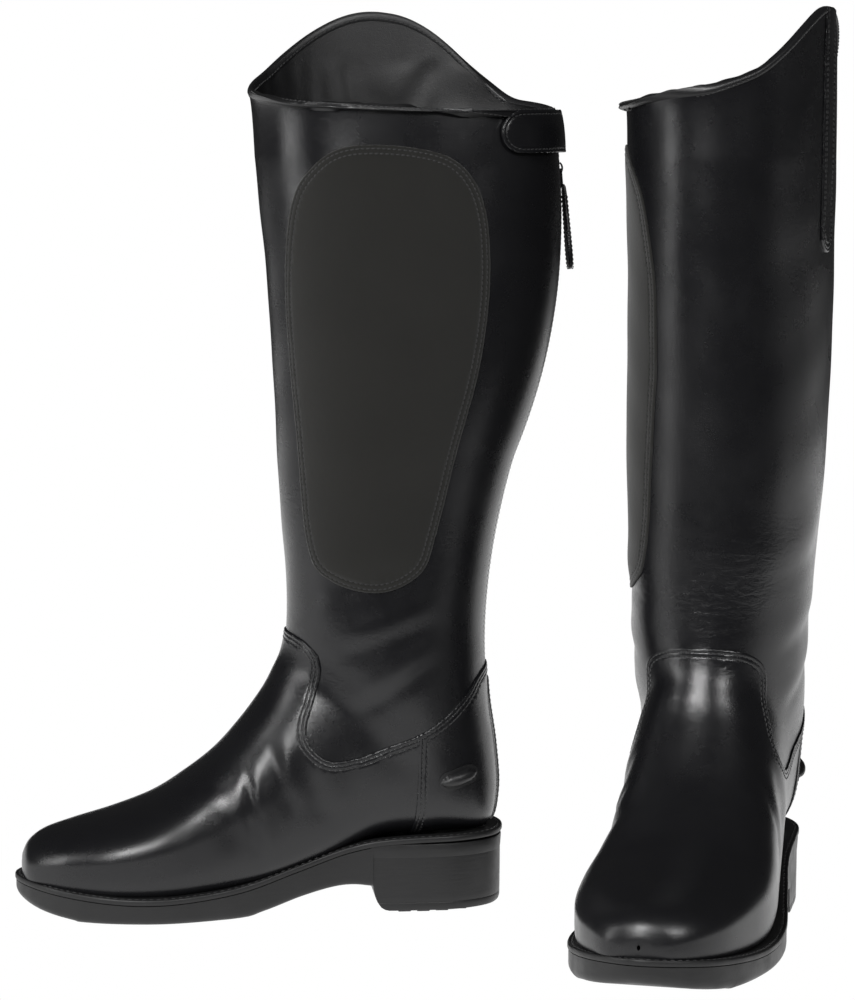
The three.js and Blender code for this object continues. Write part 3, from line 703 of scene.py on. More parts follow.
def rubber_paint():
    paint = Paint("rubber")
    dust = paint.noise(30, 5, 0.65)
    paint.colour(dust, (0.007, 0.007, 0.0072), (0.014, 0.014, 0.0145))
    paint.rough(paint.remap(paint.noise(80, 4, 0.6), 0.3, 0.7, 0.36, 0.52))
    paint.bumps((paint.noise(700, 3, 0.6), 0.05),
                (paint.noise(1, 3, 0.5, vector=paint.stretched(60, 60, 420)), 0.12))
    paint.set(Specular_IOR_Level=0.45)
    return paint.material


def thread_paint(name, dark, light):
    paint = Paint(name)
    paint.colour(paint.noise(700, 3, 0.6), dark, light)
    paint.bumps((paint.cells(2600), 0.08))
    paint.set(Roughness=0.55, Sheen_Weight=0.2)
    return paint.material


def tape_paint():
    paint = Paint("zip_tape")
    weave = paint.cells(1700, vector=paint.stretched(1, 1, 0.6))
    paint.colour(weave, (0.004, 0.004, 0.0042), (0.012, 0.012, 0.0125))
    paint.bumps((weave, 0.15))
    paint.set(Roughness=0.85, Sheen_Weight=0.15)
    return paint.material


def mottled_paint(name, dark, light, mottle, relief, depth, **settings):
    """A material with one noise for its colour and one for its relief, depth in millimetres."""
    paint = Paint(name)
    paint.colour(paint.noise(*mottle), dark, light)
    paint.bumps((paint.noise(*relief), depth))
    paint.set(**settings)
    return paint


def metal_paint():
    paint = mottled_paint("black_nickel", (0.05, 0.05, 0.054), (0.11, 0.11, 0.115),
                          (300, 4, 0.6), (1500, 3, 0.6), 0.02, Metallic=0.95)
    paint.rough(paint.remap(paint.noise(600, 4, 0.6), 0.3, 0.7, 0.22, 0.4))
    return paint.material


SMOOTH = leather_paint("boot_leather", (0.0050, 0.0050, 0.0058), (0.0085, 0.0085, 0.0098), 0.27,
                       wrinkles=0.45)
EDGE = leather_paint("edge_leather", (0.005, 0.005, 0.0055), (0.010, 0.010, 0.011), 0.42, 0.08)
LINED = leather_paint("lining_leather", (0.006, 0.006, 0.0064), (0.013, 0.013, 0.0135), 0.38, 0.1)
SUEDE = suede_paint()
RUBBER = rubber_paint()
THREAD = thread_paint("thread", (0.008, 0.008, 0.0085), (0.026, 0.026, 0.027))
TAPE = tape_paint()
COIL = mottled_paint("zip_coil", (0.006, 0.006, 0.0065), (0.012, 0.012, 0.0125),
                     (500, 3, 0.6), (900, 3, 0.6), 0.04, Roughness=0.38).material
METAL = metal_paint()
BOARD = mottled_paint("fibre_board", (0.16, 0.11, 0.07), (0.28, 0.2, 0.13),
                      (260, 5, 0.7), (500, 4, 0.6), 0.1, Roughness=0.9).material

# ---- objects ----------------------------------------------------------------------------------

SHARP_ANGLE = 42.0       # degrees; edges that turn more stay sharp


def place_piece(side, name, body, material, slot, verts, faces, stands_for=()):
    """Makes one piece of one boot, rides it on its body and hides the CAD nodes it stands for."""
    mesh = bpy.data.meshes.new(f"{side}_{name}")
    world = np.asarray(verts, float)
    matrix = np.array(BOOT[side])
    world = world @ matrix[:3, :3].T + matrix[:3, 3]
    if side == "left":
        faces = [tuple(reversed(face)) for face in faces]
    mesh.from_pydata(world.tolist(), [], faces)
    mesh.validate()
    mesh.polygons.foreach_set("use_smooth", [True] * len(mesh.polygons))
    mesh.set_sharp_from_angle(angle=math.radians(SHARP_ANGLE))
    mesh.materials.append(material)
    piece = bpy.data.objects.new(f"{side}_{name}", mesh)
    bpy.context.scene.collection.objects.link(piece)
    if body:
        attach(piece, f"{side}_{body}")
    if stands_for:
        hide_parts(*[f"{side}_{node}" for node in stands_for])
    return piece


def both(name, body, material, slot, body_mesh, stands_for=()):
    """One piece on each boot."""
    verts, faces = body_mesh
    return [place_piece(side, name, body, material, slot, verts, faces, stands_for)
            for side in SIDES]


# ---- stitches ---------------------------------------------------------------------------------

STITCH_RINGS = [(-0.5, 0.15, -0.55), (-0.43, 0.7, -0.2), (-0.22, 1.0, 0.12), (0.22, 1.0, 0.12),
                (0.43, 0.7, -0.2), (0.5, 0.15, -0.55)]
STITCH_SIDES = 6


def stitch_template(length, width):
    """One stitch along x, with z up out of the leather."""
    verts = []
    for along, swell, lift in STITCH_RINGS:
        for k in range(STITCH_SIDES):
            angle = 2 * math.pi * k / STITCH_SIDES
            verts.append((along * length, 0.5 * width * swell * math.cos(angle),
                          0.42 * width * swell * math.sin(angle) + lift * width))
    faces = []
    for i in range(len(STITCH_RINGS) - 1):
        for k in range(STITCH_SIDES):
            a, b = i * STITCH_SIDES + k, i * STITCH_SIDES + (k + 1) % STITCH_SIDES
            faces.append((a, b, b + STITCH_SIDES, a + STITCH_SIDES))
    faces.append(tuple(range(STITCH_SIDES - 1, -1, -1)))
    last = (len(STITCH_RINGS) - 1) * STITCH_SIDES
    faces.append(tuple(range(last, last + STITCH_SIDES)))
    return np.array(verts), faces


def stitches(lines, pitch=3.0, length=2.5, width=0.75, lift=0.0, slant=0.1):
    """Stitches along polylines of place and normal."""
    template, template_faces = stitch_template(length, width)
    verts, faces = [], []
    for line in lines:
        rows = resample(line, pitch)
        if len(rows) < 3:
            continue
        tangents = np.diff(rows[:, :3], axis=0)
        tangents /= np.linalg.norm(tangents, axis=1, keepdims=True) + 1e-12
        middles = (rows[:-1] + rows[1:]) / 2
        for middle, tangent in zip(middles, tangents):
            up = middle[3:6] / (np.linalg.norm(middle[3:6]) + 1e-12)
            side = np.cross(up, tangent)
            side /= np.linalg.norm(side) + 1e-12
            along = np.cross(side, up)
            along = along * math.cos(slant) + side * math.sin(slant)
            side = np.cross(up, along)
            base = len(verts) * len(template)
            place = middle[:3] + up * lift
            verts.append(place + template[:, :1] * along + template[:, 1:2] * side
                         + template[:, 2:3] * up)
            faces += [tuple(v + base for v in face) for face in template_faces]
    return np.vstack(verts), faces


def join_bodies(*bodies):
    """Several bodies as one, as corners and faces."""
    verts, faces, start = [], [], 0
    for body_verts, body_faces in bodies:
        verts.append(np.asarray(body_verts, float))
        faces += [tuple(v + start for v in face) for face in body_faces]
        start += len(body_verts)
    return np.vstack(verts), faces


# ---- uppers -----------------------------------------------------------------------------------

plain = grid_skin(*form_grid(rippled=False))

SEWN_EDGE = [(0, 0.55), (0.35, 0.95), (0.9, 1.1), (1.6, 1.1), (2.2, 0.75), (2.8, 1.05), (4.2, 1.0),
             (4.8, 0.65), (5.4, 0.9), (14, 0.55), (30, 0.0)]
SEWN_ROWS = (2.2, 4.8)
PATCH_EDGE = [(0, 0.35), (0.4, 0.95), (0.9, 1.2), (1.5, 1.2), (2.0, 0.85), (2.6, 1.15), (4.2, 1.15),
              (4.8, 0.8), (5.4, 1.15), (9, 1.25)]
PATCH_ROWS = (2.0, 4.8)


def distance_rows(skin, lines, distances, lift=0.0, **stitch):
    """Stitch rows at some distances from a sewn edge."""
    away = distance_to(skin, lines)
    rows = [line for distance in distances for line in isolines(skin, away, distance)]
    return stitches(rows, lift=lift, **stitch)


def sewn_piece(name, skin, lines, profile, rows, inner, material, stands_for, slot="leather",
               body="boot", lift=0.85, **stitch):
    """A leather piece with a shaped edge, and its stitches, on both boots."""
    both(name, body, material, slot, shaped_sheet(skin, lines, profile, inner), stands_for)
    if rows:
        sewing = distance_rows(skin, lines, rows, lift, **stitch)
        both(f"{name}_stitching", body, THREAD, slot, sewing)


def outline_field(outline, inner_side):
    """Field for a patch: inside a side-view outline, and on one side of the boot."""
    sign = 1 if inner_side else -1

    def field(places):
        return np.minimum(side_distance(places, outline), sign * places[:, 1] - 1)
    return field


def edge_lines(skin, field):
    """The lines where a field is zero."""
    return isolines(skin, field(skin.places))


seam_lines = isolines(hide, field_above_seam(hide.places))
foot = cut(hide, lambda places: -field_above_seam(places))
counter_lines = edge_lines(foot, field_behind_counter)


def build_shaft():
    skin = cut(hide, field_above_seam, lambda places: field_zip_slot(places, ZIP_SLOT))
    both("shaft_leather", "boot", SMOOTH, "leather", thicken(skin, 0.0, -LEATHER), ("shaft",))
    slot_edge = isolines(hide, field_zip_slot(hide.places, ZIP_SLOT))
    sewing = distance_rows(skin, slot_edge, (2.6, 11.0), -0.2, width=0.65)
    both("zip_seam_stitching", "boot", THREAD, "leather", sewing)


def build_foot():
    vamp = cut(foot, lambda places: -field_behind_counter(places))
    sewn_piece("vamp_leather", vamp, seam_lines, SEWN_EDGE, SEWN_ROWS, -LEATHER, SMOOTH, ("vamp",))
    heel = cut(foot, field_behind_counter)
    sewn_piece("counter_leather", heel, seam_lines + counter_lines, SEWN_EDGE, SEWN_ROWS, -LEATHER,
               SMOOTH, ("counter",))


def build_grip():
    field = outline_field(closed_curve(GRIP_OUTLINE, 8), True)
    skin = cut(hide, field)
    sewn_piece("grip_suede", skin, edge_lines(hide, field), PATCH_EDGE, PATCH_ROWS, 0.05, SUEDE,
               ("grip_panel",), "suede", lift=0.95, width=0.8)


def swagger_outline():
    """Strip from a round lower end up past the rim, in side view."""
    x, half, low = SWAGGER["x"], SWAGGER["half"], SWAGGER["low"]
    turns = np.linspace(math.pi, 2 * math.pi, 25)
    end = [(x + half * math.cos(a), low + half + half * math.sin(a)) for a in turns]
    return np.array(end + [(x + half, ABOVE), (x - half, ABOVE)])


def build_swagger_tab():
    field = outline_field(swagger_outline(), False)
    sewn_piece("swagger_leather", cut(hide, field), edge_lines(hide, field), PATCH_EDGE, PATCH_ROWS,
               0.05, SMOOTH, ("swagger_tab",), lift=0.9)


def spur_outline():
    """Round-ended, tilted outline of a spur rest, in side view."""
    ends = []
    for sign in (1, -1):
        for angle in np.linspace(-math.pi / 2, math.pi / 2, 17) + (0 if sign > 0 else math.pi):
            along = sign * (SPUR["half"] - SPUR["radius"]) + SPUR["radius"] * math.cos(angle)
            up = SPUR["radius"] * math.sin(angle)
            tilt = SPUR["tilt"]
            ends.append((SPUR["x"] + along * math.cos(tilt) + up * math.sin(tilt),
                         SPUR["z"] - along * math.sin(tilt) + up * math.cos(tilt)))
    return np.array(ends)


def spur_axes(places):
    """Distances along and across a spur rest from its middle."""
    x, z = places[:, 0] - SPUR["x"], places[:, 2] - SPUR["z"]
    cosine, sine = math.cos(SPUR["tilt"]), math.sin(SPUR["tilt"])
    return x * cosine - z * sine, x * sine + z * cosine


def build_spur_rests():
    ridge = {"half_length": SPUR["half"] - 1.5, "half_width": SPUR["radius"] - 2.0}
    for side_name, inner_side in (("inner", True), ("outer", False)):
        skin = cut(plain, outline_field(spur_outline(), inner_side))
        for axis, reach in ((0, SPUR["half"]), (1, SPUR["radius"])):
            for level in np.linspace(-reach, reach, 13)[1:-1]:
                skin = split(skin.with_field(spur_axes(skin.places)[axis]), level)
        along, across = spur_axes(skin.places)
        inside = 1 - (along / ridge["half_length"]) ** 2 - (across / ridge["half_width"]) ** 2
        outer = SPUR["flange"] + SPUR["ridge"] * np.sqrt(np.maximum(inside, 0))
        both(f"spur_pad_{side_name}", "boot", EDGE, "leather", thicken(skin, outer, 0.05),
             (f"spur_rest_{side_name}",))


BACKSTRAP_EDGE = [(0, 1.0), (0.4, 1.45), (1.0, 1.6), (1.6, 1.3), (2.2, 1.6), (9, 1.6)]


def build_backstrap():
    field = strip_field(BACKSTRAP)
    sewn_piece("backstrap_leather", cut(hide, field), edge_lines(hide, field), BACKSTRAP_EDGE,
               (1.6,), 0.9, SMOOTH, ("backstrap",), lift=1.4)


# ---- lining, binding and inner pieces ----------------------------------------------------------


def lining_wrinkles(places):
    """Thin creases of the loose lining, at most about a millimetre high."""
    x, y, z = places.T
    angle = np.arctan2(y, x - 55)
    front = smoothstep(x, 60, 110)
    upright = np.sin(angle * 34 + 2.2 * np.sin(z / 17)) * np.sin(z / 23 + 3 * angle)
    diagonal = np.sin(z / 6.5 + angle * 5 + 1.5 * np.sin(angle * 7)) * np.sin(angle * 3 + z / 31)
    folds = 0.9 * front * upright + 0.9 * (1 - front) * diagonal
    return (folds + 0.5 * np.sin(z / 11 - angle * 9)) * smoothstep(500 - z, 2, 14)


LINING = {"outer": -1.95, "inner": -3.35, "fold": 0.55, "slot": 12.0}
SOCK = {"outer": -3.7, "inner": -6.1, "height": 7.0, "heel": 8.0, "toe": 277.0}


def build_lining():
    skin = cut(plain, field_above_seam, lambda places: field_zip_slot(places, LINING["slot"]))
    inner = LINING["inner"] - LINING["fold"] * (1 + lining_wrinkles(skin.places))
    both("lining_leather", "boot", LINED, "lining", thicken(skin, LINING["outer"], inner),
         ("shaft_lining",))


def floor_height(x):
    """Height of the foot's underside, from the toe back to the heel."""
    table = np.array(SECTIONS)[1:12, 2:4][::-1]
    return np.interp(x, table[:, 0], table[:, 1])


def field_footbed(places):
    x, _, z = places.T
    return np.minimum.reduce([floor_height(x) + SOCK["height"] - z, x - SOCK["heel"],
                              SOCK["toe"] - x])


def build_insole():
    skin = cut(plain, field_footbed)
    both("sock_leather", "boot", LINED, "board", thicken(skin, SOCK["outer"], SOCK["inner"]),
         ("insole",))


BINDING_SECTION = [  # out of the leg, up; round the rim from outside to inside
    (0.08, -3.1), (0.5, -3.0), (0.72, -2.5), (0.72, -0.9), (0.45, -0.1), (-0.3, 0.35), (-1.6, 0.5),
    (-2.9, 0.4), (-3.7, 0.0), (-4.15, -0.9), (-4.3, -4.6), (-4.1, -5.1), (-3.6, -5.2), (-3.3, -1.2),
    (-0.2, -1.2),
]
BINDING_ROWS = ((0.8, -2.1), (-4.3, -3.7))       # stitch rows, outside and inside


def rim_frames():
    """Place, outward and upward direction along the rim, from one zip edge to the other."""
    place, outward = form[-1], form_normals[-1]
    up = form[-1] - form[-5]
    up /= np.linalg.norm(up, axis=1, keepdims=True)
    keep = ~((place[:, 0] < BACK_OF_LEG) & (np.abs(place[:, 1]) < ZIP_SLOT))
    first = np.flatnonzero(keep & ~np.roll(keep, 1))[0]
    order = np.roll(np.arange(len(place)), -first)[:keep.sum()]
    return place[order], outward[order], up[order]


def outward_faces(verts, faces):
    """Turns every face over if the body is inside out."""
    volume = 0.0
    for face in faces:
        a = verts[face[0]]
        for k in range(1, len(face) - 1):
            volume += np.dot(a, np.cross(verts[face[k]], verts[face[k + 1]]))
    return faces if volume > 0 else [tuple(reversed(face)) for face in faces]


def stack_rings(rings):
    """Closed body through rings of the same number of corners, with flat ends."""
    count = len(rings[0])
    verts = np.vstack(rings)
    faces = []
    for i in range(len(rings) - 1):
        for k in range(count):
            a, b = i * count + k, i * count + (k + 1) % count
            faces.append((a, b, b + count, a + count))
    last = (len(rings) - 1) * count
    faces.append(tuple(range(count - 1, -1, -1)))
    faces.append(tuple(range(last, last + count)))
    return verts, outward_faces(verts, faces)


def ring_tube(rings):
    """Closed body through rings that come back to the first one."""
    count, verts = len(rings[0]), np.vstack(rings)
    total = len(verts)
    faces = [(i * count + k, i * count + (k + 1) % count,
              ((i + 1) * count + (k + 1) % count) % total, ((i + 1) * count + k) % total)
             for i in range(len(rings)) for k in range(count)]
    return verts, outward_faces(verts, faces)


def build_binding():
    place, outward, up = rim_frames()
    out, lift = np.array(BINDING_SECTION).T
    body = stack_rings([p + np.outer(out, o) + np.outer(lift, u)
                        for p, o, u in zip(place, outward, up)])
    both("rim_binding", "boot", EDGE, "leather", body, ("top_binding",))
    rows = []
    for out, lift in BINDING_ROWS:
        sign = 1 if out > 0 else -1
        rows.append(np.column_stack([place + outward * out + up * lift, outward * sign]))
    both("rim_stitching", "boot", THREAD, "leather", stitches(rows, width=0.7))


# ---- zip --------------------------------------------------------------------------------------


def back_place(z, depth):
    """Point at a depth under the back line, with its outward and upward directions."""
    below, x, above = np.interp((z - 1, z, z + 1), BACK_LINE[:, 1], BACK_LINE[:, 0])
    slope = (above - below) / 2
    up = np.array([slope, 0, 1]) / math.hypot(slope, 1)
    outward = np.array([-up[2], 0, up[0]])
    return np.array([x, 0, z]) - outward * depth, outward, up


def back_line():
    """Places (x, z) up the back of the leg, from above the heel to the rim."""
    sections, _ = form_sections()
    rows = sections[sections[:, 3] > 100][:, 2:4]
    return rows[np.argsort(rows[:, 1])]


BACK_LINE = back_line()


def rounded_box(low, high, radius, segments=2):
    """Box with rounded edges, as corners and faces."""
    shape = bmesh.new()
    bmesh.ops.create_cube(shape, size=1.0)
    low, high = Vector(low), Vector(high)
    for vert in shape.verts:
        vert.co = Vector((low[k] + (vert.co[k] + 0.5) * (high[k] - low[k])) for k in range(3))
    bmesh.ops.bevel(shape, geom=shape.edges[:], offset=radius, segments=segments, profile=0.5,
                    affect="EDGES")
    verts = np.array([vert.co[:] for vert in shape.verts])
    shape.verts.index_update()
    faces = [tuple(vert.index for vert in face.verts) for face in shape.faces]
    shape.free()
    return verts, faces


TOOTH_PITCH = 2.1
COIL_DEPTH = 2.7


def build_teeth(sign):
    """One side of the coil: a row of small rounded bars, alternating with the other side's."""
    tooth = rounded_box((-0.75, -0.25, -0.55), (0.75, 3.0, 0.55), 0.3, 1)
    low = ZIP_FOOT + 3 + (0 if sign > 0 else TOOTH_PITCH / 2)
    parts = []
    for z in np.arange(low, ZIP_TAPE["high"], TOOTH_PITCH):
        centre, outward, up = back_place(z, COIL_DEPTH)
        across = np.array([0, sign, 0])
        turned = np.column_stack([outward, across, up])
        verts = tooth[0] @ turned.T + centre
        faces = tooth[1] if sign > 0 else [tuple(reversed(face)) for face in tooth[1]]
        parts.append((verts, faces))
    return join_bodies(*parts)


def build_zip():
    for name, sign in (("inner", 1), ("outer", -1)):
        def on_tape(places):
            x, y, z = places.T
            away = sign * y
            return np.minimum.reduce([away - ZIP_TAPE["near"], ZIP_TAPE["far"] - away,
                                      BACK_OF_LEG - x, z - ZIP_TAPE["low"], ZIP_TAPE["high"] - z])
        tape = cut(plain, on_tape)
        both(f"zip_tape_{name}", "boot", TAPE, "zip", thicken(tape, -2.1, -3.0),
             (f"zip_half_{name}",))
        both(f"zip_teeth_{name}", "boot", COIL, "zip", build_teeth(sign))


def build_guard_and_stop():
    flap = cut(plain, strip_field(GUARD))
    both("zip_guard_flap", "boot", LINED, "leather", thicken(flap, -6.2, -7.4), ("zip_guard",))
    bar = rounded_box((-0.9, -5.0, -2.0), (0.9, 5.0, 2.0), 0.6, 3)
    both("zip_end_stop", "boot", METAL, "metal", in_zip_frame(bar, ZIP_FOOT + 2.3, 0.9),
         ("zip_stop",))


def in_zip_frame(body, z=SLIDER_Z, depth=0.0):
    """From the slider's own frame (x out of the leg, y across, z up the zip) to the boot's."""
    centre, outward, up = back_place(z, depth)
    verts, faces = body
    turned = verts @ np.column_stack([outward, (0, 1, 0), up]).T + centre
    return turned, outward_faces(turned, faces)


def mirrored(half):
    """Closed symmetrical outline from its right half, which is listed from the top down."""
    return half + [(-y, z) for y, z in half[-2:0:-1]]


def plate_outline(top, bottom, length):
    """Slider plate seen from behind: wide at the top, narrow at the foot, rounded."""
    half = [(0, length), (top * 0.8, length * 0.95), (top, length * 0.5), (top * 0.8, 0),
            (bottom, -length * 0.7), (bottom * 0.8, -length), (0, -length * 1.02)]
    return closed_curve(mirrored(half), 5)


def plate(outline, low, high, rounding):
    """Flat plate across y and z, with rounded edges, between two depths x."""
    centre = outline.mean(axis=0)
    levels = [(low, 1 - rounding), (low + rounding * 3, 1.0), (high - rounding * 3, 1.0),
              (high, 1 - rounding)]
    rings = []
    for depth, scale in levels:
        ring = centre + (outline - centre) * scale
        rings.append(np.column_stack([np.full(len(ring), depth), ring]))
    return stack_rings(rings)


def wire(path, radius, closed, sides=10):
    """Round wire along a path."""
    path = np.asarray(path, float)
    if closed:
        ahead, behind = np.roll(path, -1, axis=0), np.roll(path, 1, axis=0)
    else:
        ahead, behind = np.vstack([path[1:], path[-1:]]), np.vstack([path[:1], path[:-1]])
    along = ahead - behind
    along /= np.linalg.norm(along, axis=1, keepdims=True)
    first = np.cross(along, np.array([1.0, 0.02, 0.01]))
    bad = np.linalg.norm(first, axis=1) < 0.2
    first[bad] = np.cross(along[bad], np.array([0.0, 1.0, 0.0]))
    first /= np.linalg.norm(first, axis=1, keepdims=True)
    second = np.cross(along, first)
    turns = np.linspace(0, 2 * math.pi, sides, endpoint=False)
    rings = [p + radius * (np.outer(np.cos(turns), a) + np.outer(np.sin(turns), b))
             for p, a, b in zip(path, first, second)]
    return ring_tube(rings) if closed else stack_rings(rings)


# Slider, in its own frame: widths across, depths out of the leg, lengths up the zip.
SLIDER_TOP = {"outline": (4.5, 3.2, 6), "low": -1.6, "high": 0.15, "rounding": 0.12}
SLIDER_BOTTOM = {"outline": (4.4, 3.1, 6), "low": -5.0, "high": -4.0, "rounding": 0.1}
SLIDER_BAIL = {"foot": 0.1, "high": 2.0, "half_length": 3.1, "radius": 0.55}


def slider_plate(size):
    return plate(plate_outline(*size["outline"]), size["low"], size["high"], size["rounding"])


def build_slider():
    post = rounded_box((-4.2, -0.55, 0.5), (-1.4, 0.55, 5.2), 0.2)
    arch = [(SLIDER_BAIL["foot"] + SLIDER_BAIL["high"] * math.sin(turn), 0.0,
             SLIDER_BAIL["half_length"] * math.cos(turn)) for turn in np.linspace(0, math.pi, 13)]
    bail = wire(arch, SLIDER_BAIL["radius"], False)
    body = join_bodies(slider_plate(SLIDER_TOP), slider_plate(SLIDER_BOTTOM), post, bail)
    both("slider_body", "slider", METAL, "metal", in_zip_frame(body), ("zip_slider",))


LINK_HALF = [(0, -0.9), (2.5, -1.0), (2.7, -3.0), (2.6, -8.0), (2.3, -11.2), (0, -11.5)]
LINK = {"out": 1.05, "radius": 0.5}
LEAF_HALF = [(0, -9.6), (2.0, -9.8), (3.0, -12), (4.2, -24), (6.6, -40), (7.4, -50), (5.6, -57.4),
             (0, -59.2)]
LEAF_MIDDLE = np.array([0, -40.0])
LEAF_LEVELS = [  # distance out of the leg, scale of the outline; the smallest ones close the faces
    (0.75, 0.02), (0.72, 0.5), (0.8, 0.86), (1.0, 0.96), (1.5, 1.0), (2.3, 1.0), (3.0, 0.96),
    (3.3, 0.86), (3.4, 0.5), (3.35, 0.02),
]


def leaf_rings(outline):
    """Rings of a leather leaf with soft edges, a little pillowed."""
    for out, scale in LEAF_LEVELS:
        ring = LEAF_MIDDLE + (outline - LEAF_MIDDLE) * scale
        yield np.column_stack([np.full(len(ring), out), ring])


def leaf_stitch_lines(outline):
    """Stitch lines inside the leaf's edge, open at the link, on its front and its back."""
    inset = outline[outline[:, 1] < -14] * (0.78, 0.96) + (0, -2.2)
    inset = inset[np.argsort(-np.arctan2(inset[:, 0], -(inset[:, 1] + 36)))]
    for out, sign in ((3.35, 1), (0.75, -1)):
        yield np.column_stack([np.full(len(inset), out), inset,
                               np.tile((sign, 0, 0), (len(inset), 1))])


def build_puller():
    loop = closed_curve(mirrored(LINK_HALF), 5)
    path = np.column_stack([np.full(len(loop), LINK["out"]), loop])
    leaf = closed_curve(mirrored(LEAF_HALF), 8)
    sewing = stitches(leaf_stitch_lines(leaf), 2.6, 2.1, 0.6)
    for name, material, slot, body, nodes in (
            ("puller_link", METAL, "metal", wire(path, LINK["radius"], True), ("zip_link",)),
            ("puller_leaf", SMOOTH, "leather", stack_rings(list(leaf_rings(leaf))), ("zip_tag",)),
            ("puller_stitching", THREAD, "leather", sewing, ())):
        both(name, "puller", material, slot, in_zip_frame(body), nodes)


# ---- snap strap -------------------------------------------------------------------------------


def tab_outline():
    """The strap's round-ended inner side, in side view."""
    low, high, front = TAB["low"], TAB["high"], TAB["front"]
    radius = (high - low) / 2
    turns = np.linspace(-math.pi / 2, math.pi / 2, 25)
    end = [(front - radius + radius * math.cos(a), low + radius + radius * math.sin(a)) for a in turns]
    return np.array(end + [(-FAR, high), (-FAR, low)])


def field_strap(places):
    x, y, z = places.T
    pill = side_distance(places, tab_outline())
    square = np.minimum(np.minimum(z - TAB["low"], TAB["high"] - z), TAB["anchor"] - x)
    return np.where(y > 0, pill, square)


STRAP_EDGE = [(0, 0.35), (0.35, 0.85), (0.9, 1.05), (1.5, 1.05), (2.1, 0.7), (2.7, 1.05), (9, 1.2)]


STRAP_LEATHER = 1.0      # thickness under the shaped edge
STRAP_ROW = {"inset": 2.1, "height": 1.75}


def strap_base(x, y):
    """Height of the strap's underside over the leather."""
    sewn = smoothstep(x, *TAB["rise"]) * (y < 0)
    return TAB["base"] + (TAB["sewn_base"] - TAB["base"]) * sewn


def strap_pieces():
    """The strap and its stitching, as name, material, body and the nodes it stands for."""
    skin = cut(plain, field_strap)
    skin = skin.with_field(distance_to(skin, edge_lines(plain, field_strap)))
    for level, _ in STRAP_EDGE[1:-1]:
        skin = split(skin, level)
    base = strap_base(skin.places[:, 0], skin.places[:, 1])
    outer = base + STRAP_LEATHER + profile_height(skin.rows[:, -1], STRAP_EDGE)
    rows = isolines(skin, skin.rows[:, -1], STRAP_ROW["inset"])
    for line in rows:
        rise = strap_base(line[:, 0], line[:, 1]) + STRAP_ROW["height"]
        line[:, :3] += line[:, 3:6] * rise[:, None]
    return (("snap_strap", SMOOTH, thicken(skin, outer, base), ("snap_anchor", "snap_tab")),
            ("snap_strap_stitching", THREAD, stitches(rows, width=0.65), ()))


def build_strap():
    """One strap over the top of the zip: sewn down on the outer side, snapped on the inner side."""
    hinge = Vector((back_x(TAB["hinge_z"]), 0.0, TAB["hinge_z"]))
    for name, material, body, nodes in strap_pieces():
        for side in SIDES:
            piece = place_piece(side, name, None, material, "leather", *body, stands_for=nodes)
            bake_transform(piece)


# ---- sole -------------------------------------------------------------------------------------

sole_outline = closed_curve(SOLE_OUTLINE, 14)


def inset_outline(distance):
    """The sole's outline moved inwards."""
    ahead, behind = np.roll(sole_outline, -1, axis=0), np.roll(sole_outline, 1, axis=0)
    along = ahead - behind
    along /= np.linalg.norm(along, axis=1, keepdims=True)
    inward = np.column_stack([-along[:, 1], along[:, 0]])
    towards = (np.array([140.0, 0.0]) - sole_outline) * inward
    if towards.sum() < 0:
        inward = -inward
    return sole_outline + inward * distance


WELT_SECTION = [  # inset from the outline, height from the welt's top
    (9.0, 0.0), (4.2, 0.0), (3.1, -0.1), (2.7, -0.45), (2.2, -0.5), (1.7, -0.1), (0.9, 0.0),
    (0.3, -0.3), (0.0, -1.0), (0.0, -2.6), (0.3, -3.3), (0.9, -3.6), (9.0, -3.6),
]


def build_welt():
    rings = []
    for inset, drop in WELT_SECTION:
        ring = inset_outline(inset)
        rings.append(np.column_stack([ring, height_along(WELT_TOP, ring[:, 0]) + drop]))
    both("welt_strip", "boot", RUBBER, "rubber", ring_tube(rings), ("welt",))
    ring = inset_outline(2.45)
    line = np.column_stack([ring, height_along(WELT_TOP, ring[:, 0]) - 0.42])
    line = np.column_stack([line, np.tile((0, 0, 1), (len(line), 1))])
    sewing = stitches([np.vstack([line, line[:1]])], pitch=4.2, length=3.3, width=1.0)
    both("welt_stitching", "boot", THREAD, "rubber", sewing)


def half_widths(outline, x):
    """Lowest and highest y of an outline at some x."""
    tip, heel = outline[:, 0].argmax(), outline[:, 0].argmin()
    looped = np.roll(outline, -heel, axis=0)
    looped = np.vstack([looped, looped[:1]])
    turn = (tip - heel) % len(outline)
    sides = [np.interp(x, side[:, 0], side[:, 1])
             for side in (looped[:turn + 1], looped[turn:][::-1])]
    return np.minimum(*sides), np.maximum(*sides)


OUTSOLE = {"inset": 0.6, "edge_radius": 4.5, "under_welt": 3.9, "rim": 9.0, "under_foot": 0.6}
TREAD = {"pitch": 7.0, "bow": 0.004, "bar": 2.7, "depth": 1.1, "start": (158, 163),
         "end": (250, 256), "from_edge": (6, 7)}


def sole_tread(x, y, edge):
    """Depth of the grooves under the ball of the foot."""
    across = (x + TREAD["bow"] * y * y) % TREAD["pitch"] - TREAD["pitch"] / 2
    zone = smoothstep(x, *TREAD["start"]) * (1 - smoothstep(x, *TREAD["end"]))
    groove = (np.abs(across) > TREAD["bar"]) * zone
    return TREAD["depth"] * groove * smoothstep(edge, *TREAD["from_edge"])


